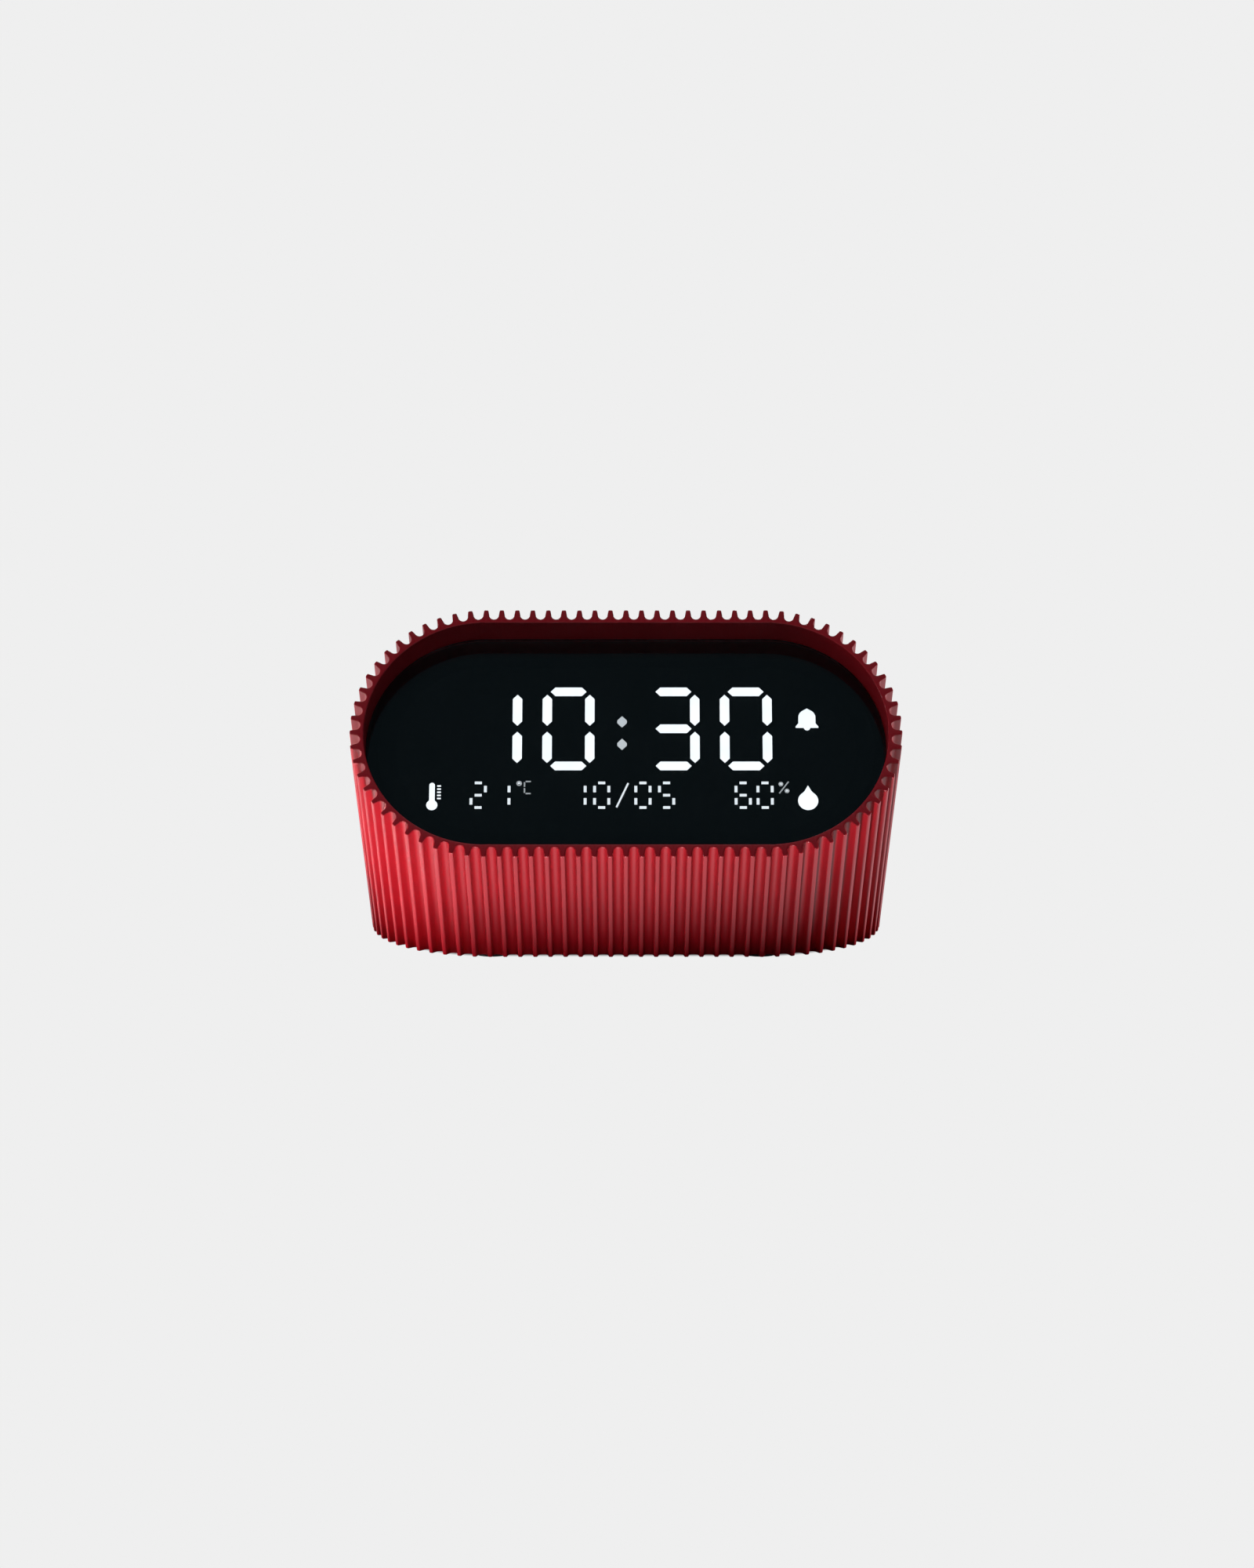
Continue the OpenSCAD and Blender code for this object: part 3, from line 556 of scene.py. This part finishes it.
def base_bosses(shape):
    """Bosses over the base, each with a web to the nearest wall."""
    for x, y in BASE_SCREWS:
        tube_boss(shape, BOSS_R, PILOT_R, BASE_TOP, BASE_BOSS_TOP, upright(x, y))
        if y < PANEL_Y / 2:
            near = [(y, BASE_TOP), (y, BASE_BOSS_TOP)]
            wall = [(front_wall_y(z), z) for z in (BASE_BOSS_TOP, BASE_TOP)]
            prism(shape, near + wall, x, lambda a, b, height: (height, a, b))
        else:
            side = math.copysign(1, x)
            near = [(x, BASE_TOP), (x, BASE_BOSS_TOP)]
            wall = [(side * wall_x(y, z), z) for z in (BASE_BOSS_TOP, BASE_TOP)]
            prism(shape, near + wall, y, toward_rear(0, 0))


def panel_bosses(shape):
    """Bosses in front of the rear panel, each with a web to the side wall."""
    front = PANEL_IN - PANEL_BOSS_LENGTH
    for x, z in PANEL_SCREWS:
        tube_boss(shape, BOSS_R, PILOT_R, front, PANEL_IN, toward_rear(x, z))
        side = math.copysign(1, x)
        wall = [(side * wall_x(y, z), y) for y in (PANEL_IN, front)]
        prism(shape, [(x, front), (x, PANEL_IN), *wall], z, upright(0, 0))


def housing():
    shape = Shape()
    housing_wall(shape)
    display_bosses(shape)
    base_bosses(shape)
    panel_bosses(shape)
    stand_for(shape.build("housing_shell", 50), "ribbed_housing", red)


housing()

# ---- display ----

MASK_INNER = 19.35 * MM
INK_T = 0.03 * MM
INK_GAP = 0.01 * MM
INK_EDGE = BORE_R - 0.5 * MM
LENS_EDGE = BORE_R - 0.15 * MM
EDGE_STEPS = 96


def lens():
    edge = rounded(LENS_DROP, LENS_BACK, 0.25 * MM, 0.15 * MM)
    shape = Shape().add(body_loops(stadium(HALF, LENS_EDGE, EDGE_STEPS), edge, below_lip()))
    stand_for(shape.build("lens_pane"), "display_lens", smoke)


def lens_mask():
    """Black ink on the back of the lens, round the display's window."""
    outer = stadium(HALF, INK_EDGE, EDGE_STEPS)
    top = LENS_BACK + INK_GAP
    width = INK_EDGE - MASK_INNER
    profile = [(0, top), (0, top + INK_T), (width, top + INK_T), (width, top)]
    shape = Shape().add(body_loops(outer, profile, below_lip()), ring=True)
    add_piece(shape.build("lens_ink"), "case", ink)


lens()
lens_mask()

# ---- rear and base ----

EDGE = 0.25 * MM
HEAD_R = 2.2 * MM
HEAD_T = 1.1 * MM
SHANK_R = 1.05 * MM
CROSS_ARM = 1.25 * MM
CROSS_DEEP = 0.65 * MM
ARM_HALF_ANGLE = math.radians(15)
PANEL_HEAD_SUNK = 0.9 * MM
PANEL_SCREW_LENGTH = 8.1 * MM
BASE_SCREW_LENGTH = 7.0 * MM
FEET = [(x * MM, y * MM) for x, y in [(-30, 4), (30, 4), (-34, 46), (34, 46)]]
FOOT_R = 3.3 * MM
PORT_Z = 11.03 * MM
PORT_W = 8.94 * MM
PORT_H = 3.26 * MM
PORT_WALL = 0.3 * MM
PORT_BACK = 46.3 * MM
PORT_FRONT = PANEL_Y - 0.4 * MM
TONGUE_W = 6.7 * MM
TONGUE_T = 0.7 * MM
CONTACTS = 12
CONTACT_PITCH = 0.5 * MM
CONTACT_W = 0.26 * MM
CONTACT_T = 0.08 * MM
CONTACT_BACK = 49.5 * MM
CONTACT_FRONT = 52.6 * MM
KNOB_X = -20.0 * MM
KNOB_W = 4.4 * MM
KNOB_H = 3.0 * MM
NECK_W = 2.0 * MM
NECK_H = 1.4 * MM
NECK_END = 48.3 * MM
RIDGE_PITCH = 1.2 * MM
ROW_Z = 22.0 * MM
SNOOZE_HALF = 11.5 * MM
SNOOZE_STEMS = (-10 * MM, 10 * MM)
ROUND_BUTTONS = {
    "set_button": -37 * MM,
    "alarm_button": -24.5 * MM,
    "minus_button": 24.5 * MM,
    "plus_button": 37 * MM,
}
STEM_R = 1.5 * MM
STEM_END = 48.0 * MM
FLANGE_T = 0.8 * MM
FLANGE_EXTRA = 1.1 * MM
CAP_BACK = PANEL_IN - 0.1 * MM
CAP_TOP = PANEL_Y + BUTTON_PROUD
CAP_ROUND = 0.4 * MM
DISH = 0.16 * MM
MARK_SUNK = 0.04 * MM
MARK_PROUD = 0.09 * MM


def cross(arm, steps=48):
    """A plus with broad arms, one point for each point of a circle with as many steps."""

    def outline(inset):
        points = []
        for k in range(steps):
            a = 2 * math.pi * k / steps
            off = abs((a + QUARTER / 2) % QUARTER - QUARTER / 2)
            if off <= ARM_HALF_ANGLE + 1e-6:
                r = (arm - inset) / math.cos(off)
            else:
                r = (arm - inset) * math.tan(ARM_HALF_ANGLE) / math.sin(off)
            points.append((r * math.sin(a), r * math.cos(a)))
        return points

    return outline


def screw(shape, length, put):
    """A pan-head screw with a cross recess; its head's seat is at height 0."""
    shank = [(0.3 * MM, -length), (0, 0.3 * MM - length), (0, 0)]
    head = rounded(0, HEAD_T, 0.05 * MM, 0.5 * MM)
    recess = [(0, HEAD_T), (0.08 * MM, HEAD_T - 0.08 * MM), (0.2 * MM, HEAD_T - CROSS_DEEP)]
    shape.add(
        body_loops(circle(SHANK_R), shank, put)
        + body_loops(circle(HEAD_R), head, put)
        + body_loops(cross(CROSS_ARM), recess, put)
    )


def into_panel(x, z):
    """Places a screw that is driven into the rear panel at (x, z)."""
    seat = PANEL_Y - PANEL_HEAD_SUNK
    return lambda a, b, height: (x + a, seat + height, z + b)


def into_base(x, y):
    """Places a screw that is driven up into the base at (x, y)."""
    seat = BASE_BOTTOM + HEAD_T
    return lambda a, b, height: (x + a, y + b, seat - height)


def outer_screws():
    shape = Shape()
    for x, z in PANEL_SCREWS:
        screw(shape, PANEL_SCREW_LENGTH, into_panel(x, z))
    stand_for(shape.build("panel_screw_set"), "panel_screws", zinc)
    shape = Shape()
    for x, y in BASE_SCREWS:
        screw(shape, BASE_SCREW_LENGTH, into_base(x, y))
    stand_for(shape.build("base_screw_set"), "base_screws", zinc)


def feet():
    pad = rounded(0, BASE_BOTTOM, 0.35 * MM, 0.05 * MM)
    shape = Shape()
    for x, y in FEET:
        shape.add(body_loops(circle(FOOT_R), pad, upright(x, y)))
    stand_for(shape.build("foot_pads"), "rubber_feet", rubber)


def inlet():
    """The power inlet: a folded shell, its tongue and the contacts on both faces of the tongue."""
    put = toward_rear(0, PORT_Z)
    lip = 0.1 * MM
    profile = rounded(PORT_BACK, PORT_FRONT, lip, lip) + [
        (PORT_WALL - lip, PORT_FRONT), (PORT_WALL, PORT_FRONT - lip), (PORT_WALL, PORT_BACK + PORT_WALL)
    ]
    shell = Shape().add(body_loops(stadium((PORT_W - PORT_H) / 2, PORT_H / 2), profile, put))
    stand_for(shell.build("inlet_shell"), "port_shell", zinc)
    tongue = Shape().add(
        body_loops(
            box_outline(TONGUE_W, TONGUE_T, 0.2 * MM),
            rounded(PORT_BACK + PORT_WALL, PORT_FRONT - 0.6 * MM, FINE, 0.15 * MM),
            put,
        )
    )
    stand_for(tongue.build("inlet_tongue"), "port_tongue", black)
    contacts = Shape()
    bar = box_outline(CONTACT_W, CONTACT_T, 0.03 * MM, 2)
    ends = rounded(CONTACT_BACK, CONTACT_FRONT, FINE, FINE, 2)
    for k in range(CONTACTS):
        x = (k - (CONTACTS - 1) / 2) * CONTACT_PITCH
        for side in (-1, 1):
            contacts.add(body_loops(bar, ends, toward_rear(x, PORT_Z + side * TONGUE_T / 2)))
    add_piece(contacts.build("inlet_contacts"), "case", gold)


def switch_knob():
    """The slider: a block with three grip ridges, on a neck that reaches into the switch."""
    put = toward_rear(KNOB_X, PORT_Z)
    low = PANEL_IN + 0.2 * MM
    high = PANEL_Y + MM
    block = box_outline(KNOB_W, KNOB_H, 0.6 * MM)
    neck = box_outline(NECK_W, NECK_H, 0.1 * MM)
    ridge = box_outline(0.5 * MM, KNOB_H - 0.8 * MM, 0.2 * MM)
    ridge_edge = rounded(high - 0.3 * MM, high + 0.3 * MM, FINE, 0.2 * MM)
    shape = Shape().add(body_loops(block, rounded(low, high, 0.1 * MM, 0.35 * MM), put))
    shape.add(body_loops(neck, rounded(NECK_END, low, 0.1 * MM, FINE), put))
    for k in (-1, 0, 1):
        shape.add(body_loops(ridge, ridge_edge, toward_rear(KNOB_X + RIDGE_PITCH * k, PORT_Z)))
    stand_for(shape.build("switch_slider"), "alarm_switch_knob", red)


def button(node, x, half, stems):
    """A dished cap, its retaining flange and its stems."""

    def pill(radius):
        return stadium(half, radius) if half else circle(radius)

    rim = rounded(CAP_BACK, CAP_TOP, 0.05 * MM, CAP_ROUND)
    reach = BUTTON_R - CAP_ROUND - 0.25 * MM
    hollow = arc(6)[1:]
    dish = [(CAP_ROUND + reach * a / QUARTER, CAP_TOP - DISH * math.sin(a)) for a in hollow]
    put = toward_rear(x, ROW_Z)
    shape = Shape().add(body_loops(pill(BUTTON_R), rim + dish, put))
    flange = rounded(CAP_BACK - FLANGE_T, CAP_BACK, 0.1 * MM, 0.1 * MM)
    shape.add(body_loops(pill(BUTTON_R + FLANGE_EXTRA), flange, put))
    for stem in stems:
        edge = rounded(STEM_END, CAP_BACK - FLANGE_T, 0.15 * MM, FINE)
        shape.add(body_loops(circle(STEM_R), edge, toward_rear(x + stem, ROW_Z)))
    stand_for(shape.build(node + "_cap"), node, soft_touch)


def mark(node, x, outlines, rings=()):
    """A small raised symbol on a cap: flat outlines and rings, given as millimetres about its middle."""
    put = toward_rear(x, ROW_Z)
    low = CAP_TOP - DISH - MARK_SUNK
    high = CAP_TOP - DISH + MARK_PROUD
    shape = Shape()
    for points in outlines:
        shape.add([[put(a * MM, b * MM, y) for a, b in points] for y in (low, high)])
    for radius, width in rings:
        band = [(0, low), (0, high), (width * MM, high), (width * MM, low)]
        shape.add(body_loops(circle(radius * MM), band, put), ring=True)
    add_piece(shape.build(node + "_mark"), body_of_node(node), white_print)


def hands_outline():
    """A clock's hands, at twelve and at three."""
    return [(-0.13, 0.8), (0.13, 0.8), (0.13, 0.13), (0.6, 0.13), (0.6, -0.13), (-0.13, -0.13)]


def bell_outline():
    """A bell without its clapper."""
    side = [(0.12, 1.35), (0.4, 1.15), (0.72, 0.8), (0.82, 0.1), (0.95, -0.4), (1.25, -0.75)]
    return side + [(-a, b) for a, b in reversed(side)]


def moon_outline():
    """A crescent: a circle with a smaller one, bite to the right, taken out of it."""
    radius = 1.35
    bite = 0.75
    opening = math.radians(48)
    tip = (radius * math.cos(opening), radius * math.sin(opening))
    inner = math.hypot(tip[0] - bite, tip[1])
    turn = math.atan2(tip[1], tip[0] - bite)
    outside = arc(20, opening, 2 * math.pi - opening)
    inside = arc(16, 2 * math.pi - turn, turn)[1:-1]
    outer_arc = [(radius * math.cos(a), radius * math.sin(a)) for a in outside]
    return outer_arc + [(bite + inner * math.cos(a), inner * math.sin(a)) for a in inside]


def disc(radius, x, y):
    return [(x + a, y + b) for a, b in circle(radius, 20)(0)]


outer_screws()
feet()
inlet()
switch_knob()
button("snooze_bar", 0, SNOOZE_HALF, SNOOZE_STEMS)
for node, x in ROUND_BUTTONS.items():
    button(node, x, 0, (0,))
mark("snooze_bar", 0, [moon_outline()])
mark("set_button", ROUND_BUTTONS["set_button"], [hands_outline()], [(1.4, 0.28)])
mark("alarm_button", ROUND_BUTTONS["alarm_button"], [bell_outline(), disc(0.3, 0, -1.15)])
mark("minus_button", ROUND_BUTTONS["minus_button"], [box_outline(2.5, 0.6, 0.25)(0)])
mark("plus_button", ROUND_BUTTONS["plus_button"], [cross(1.3)(0)])
for node in ("rear_panel", "base_plate", "battery_door"):
    softened(node, EDGE, charcoal)

# ---- CAD nodes that stay, each with its material ----

KEPT = {
    foam: ["lens_tape"],
    black: ["reflector_block", "tact_switches", "cell_holder", "sounder"],
    white_light: ["time_segments", "bell_icon", "thermometer_icon", "drop_icon"],
    small_light: ["temperature_digits", "date_digits", "humidity_digits"],
    grey_light: ["colon_dots"],
    faint_light: ["unit_marks"],
    unlit: ["idle_segments"],
    board: ["led_board", "main_board", "control_board"],
    phosphor: ["led_chips"],
    epoxy: ["led_driver", "microcontroller", "sensor_chip"],
    zinc: ["display_screws", "board_screws", "control_screws", "ballast_screws", "clock_crystal",
           "coin_cell", "alarm_switch_body"],
    ivory: ["ribbon_sockets", "snooze_plungers", "set_plunger", "alarm_plunger", "minus_plunger",
            "plus_plunger"],
    pale: ["ribbon_cable"],
    steel: ["ballast_plate"],
    sleeve: ["capacitors"],
    gold: ["header_pins", "cell_contacts"],
    wire_red: ["sounder_leads"],
}
for finish, names in KEPT.items():
    for name in names:
        NODES[name].data.materials.clear()
        NODES[name].data.materials.append(finish)

# ---- stage, light and camera ----

BACKDROP = 0.863
FILL = (0.045, 0.075, 0.09, 1)
FLOOR_R = 60.0
FLOOR_T = 0.02
FLOOR_MATT = (0.09, 0.09, 0.09, 1)
# how far outside the rib ends (less than 0 under the clock) the floor's tones change: the SHADE_ values
# place a painted shadow under the clock, the GLOSS_ values a painted dimming of the floor's gloss glow
# near the clock
SHADE_TONE = 0.012
SHADE_DEEP = -5.4 * MM
SHADE_END = -3.4 * MM
GLOSS_TINT = (0.94, 0.96, 1.0, 1)
GLOSS = 0.65
GLOSS_START = 0.3 * MM
GLOSS_FULL = 9.0 * MM


def value_node(tree, operation, *operands):
    """A Math node whose operands are sockets or numbers."""
    made = tree.nodes.new("ShaderNodeMath")
    made.operation = operation
    for socket, operand in zip(made.inputs, operands):
        if isinstance(operand, (int, float)):
            socket.default_value = operand
        else:
            tree.links.new(operand, socket)
    return made.outputs[0]


def clear_of_base(tree):
    """Distance of a floor point outside the outline of the rib ends; less than 0 under the clock."""
    split = tree.nodes.new("ShaderNodeSeparateXYZ")
    tree.links.new(tree.nodes.new("ShaderNodeTexCoord").outputs["Object"], split.inputs[0])
    beyond = value_node(tree, "SUBTRACT", value_node(tree, "ABSOLUTE", split.outputs["X"]), HALF)
    across = value_node(tree, "MAXIMUM", beyond, 0.0)
    start = (FOOT_PROUD - LIP.z) * SIN_T - LIP.y * COS_T
    up = value_node(tree, "MULTIPLY_ADD", split.outputs["Y"], COS_T, start)
    squares = [value_node(tree, "POWER", side, 2.0) for side in (across, up)]
    reach = value_node(tree, "SQRT", value_node(tree, "ADD", *squares))
    section = value_node(tree, "SUBTRACT", reach, TIP_R)
    behind = value_node(tree, "SUBTRACT", split.outputs["Y"], REAR_Y)
    return value_node(tree, "MAXIMUM", section, behind)


def mix_shaders(tree, choice, first, second):
    """The first shader where choice is 0, the second where it is 1."""
    made = tree.nodes.new("ShaderNodeMixShader")
    for socket, output in zip(made.inputs, (choice, first, second)):
        tree.links.new(output, socket)
    return made.outputs[0]


def pale_floor():
    """A pale floor: even to the eye but for a painted shadow under the clock, matt to lamps, glowing in
    gloss but for painted shade near the clock.
    """
    shape = Shape().add(body_loops(circle(FLOOR_R), [(0, -FLOOR_T), (0, 0)], upright(0, 0)))
    floor = shape.build("floor")
    material = bpy.data.materials.new("pale_floor")
    material.use_nodes = True
    tree = material.node_tree
    shader = tree.nodes["Principled BSDF"]
    shader.inputs["Base Color"].default_value = FLOOR_MATT
    shader.inputs["Roughness"].default_value = 1.0
    distance = clear_of_base(tree)
    seen = tree.nodes.new("ShaderNodeEmission")
    # painted shadow: the emission that the eye sees is darkened under the clock
    tone = span(tree, distance, SHADE_DEEP, SHADE_END, SHADE_TONE, BACKDROP)
    tree.links.new(tone, seen.inputs["Color"])
    mirrored = tree.nodes.new("ShaderNodeEmission")
    mirrored.inputs["Color"].default_value = GLOSS_TINT
    # painted shade: the glow seen in gloss is dimmed near the clock
    strength = span(tree, distance, GLOSS_START, GLOSS_FULL, 0.0, GLOSS)
    tree.links.new(strength, mirrored.inputs["Strength"])
    path = tree.nodes.new("ShaderNodeLightPath")
    unseen = mix_shaders(tree, path.outputs["Is Glossy Ray"], shader.outputs[0], mirrored.outputs[0])
    mixed = mix_shaders(tree, path.outputs["Is Camera Ray"], unseen, seen.outputs[0])
    tree.links.new(mixed, tree.nodes["Material Output"].inputs["Surface"])
    floor.data.materials.append(material)
    floor.visible_shadow = False


def backdrop():
    """Even pale surroundings to the eye, and a weak fill light."""
    world = bpy.data.worlds.new("studio")
    bpy.context.scene.world = world
    world.use_nodes = True
    tree = world.node_tree
    seen = tree.nodes["Background"]
    seen.inputs["Color"].default_value = (BACKDROP, BACKDROP, BACKDROP, 1)
    fill = tree.nodes.new("ShaderNodeBackground")
    fill.inputs["Color"].default_value = FILL
    path = tree.nodes.new("ShaderNodeLightPath")
    mixed = mix_shaders(tree, path.outputs["Is Camera Ray"], fill.outputs[0], seen.outputs[0])
    tree.links.new(mixed, tree.nodes["World Output"].inputs["Surface"])


def hang(name, data, power, place, facing):
    """A light at a place, turned to face along a direction, that the camera doesn't see."""
    data.energy = power
    data.cycles.use_multiple_importance_sampling = False
    obj = bpy.data.objects.new(name, data)
    obj.location = place
    obj.rotation_euler = (-Vector(facing)).to_track_quat("Z", "Y").to_euler()
    obj.visible_camera = False
    bpy.context.scene.collection.objects.link(obj)
    return obj


def lamp(name, width, height, power, place, facing):
    """A soft rectangular lamp."""
    data = bpy.data.lights.new(name, "AREA")
    data.shape = "RECTANGLE"
    data.size = width
    data.size_y = height
    return hang(name, data, power, place, facing)


def softbox(name, azimuth, elevation, distance, width, height, power):
    """A lamp aimed at the clock; azimuth 0 is in front of the display and grows to the right."""
    a = math.radians(azimuth)
    e = math.radians(elevation)
    away = Vector((math.sin(a) * math.cos(e), -math.cos(a) * math.cos(e), math.sin(e)))
    aim = Vector((0, 0, cad_high.z / 2))
    return lamp(name, width, height, power, aim + away * distance, -away)


def spot(name, power, radius, cone, widen, place, facing):
    """A soft spotlight with a cone of so many degrees, widened to an oval, that fades to its edge."""
    data = bpy.data.lights.new(name, "SPOT")
    data.shadow_soft_size = radius
    data.spot_size = math.radians(cone)
    data.spot_blend = 1.0
    obj = hang(name, data, power, place, facing)
    obj.scale = (widen, 1, 1)


def lights():
    """Lamps on all sides and above, and low ones for the front wall, which leans over the floor."""
    softbox("key", azimuth=-93, elevation=5, distance=1.6, width=0.3, height=0.3, power=5.6)
    softbox("top", azimuth=0, elevation=80, distance=1.5, width=0.8, height=0.5, power=1.5)
    front = softbox("front", azimuth=-32, elevation=29, distance=1.6, width=0.3, height=0.3, power=4.2)
    front.visible_glossy = False
    softbox("right", azimuth=98, elevation=5, distance=1.6, width=0.4, height=0.3, power=11)
    softbox("rear_fill", azimuth=180, elevation=35, distance=1.8, width=1.4, height=0.8, power=10)
    lamp("left_glow", width=0.05, height=0.05, power=0.02,
         place=(-0.08, -0.03, 0.002), facing=(0.55, 0.25, 1))
    lamp("left_low", width=0.02, height=0.07, power=0.05,
         place=(-0.13, -0.005, 0.014), facing=(1, 0.1, 0))
    lamp("right_low", width=0.02, height=0.07, power=0.02,
         place=(0.13, -0.005, 0.014), facing=(-1, 0.1, 0))
    spot("underlight", power=5.5, radius=0.03, cone=26, widen=3.0,
         place=(-0.055, -0.19, -0.30), facing=(0.025, 0.114, 0.328))


pale_floor()
backdrop()
lights()

VIEW_LENS = 112.17
VIEW_REACH = 200.0
VIEW_ELEVATION = math.radians(5.635)
VIEW_DISTANCE = 1.0419
AIM_BELOW_LIP = 11.08 * MM
AIM_RIGHT = 0.22 * MM


def camera():
    """The view from in front of the clock, looking slightly down at it."""
    data = bpy.data.cameras.new("view")
    data.lens = VIEW_LENS
    data.clip_end = VIEW_REACH
    view = bpy.data.objects.new("view", data)
    forward = Vector((0, math.cos(VIEW_ELEVATION), -math.sin(VIEW_ELEVATION)))
    down = Vector((0, -math.sin(VIEW_ELEVATION), -math.cos(VIEW_ELEVATION)))
    aim = LIP + down * AIM_BELOW_LIP + Vector((AIM_RIGHT, 0, 0))
    view.location = aim - forward * VIEW_DISTANCE
    view.rotation_euler = (QUARTER - VIEW_ELEVATION, 0, 0)
    bpy.context.scene.collection.objects.link(view)
    bpy.context.scene.camera = view


camera()
bpy.context.scene.view_settings.view_transform = "Standard"
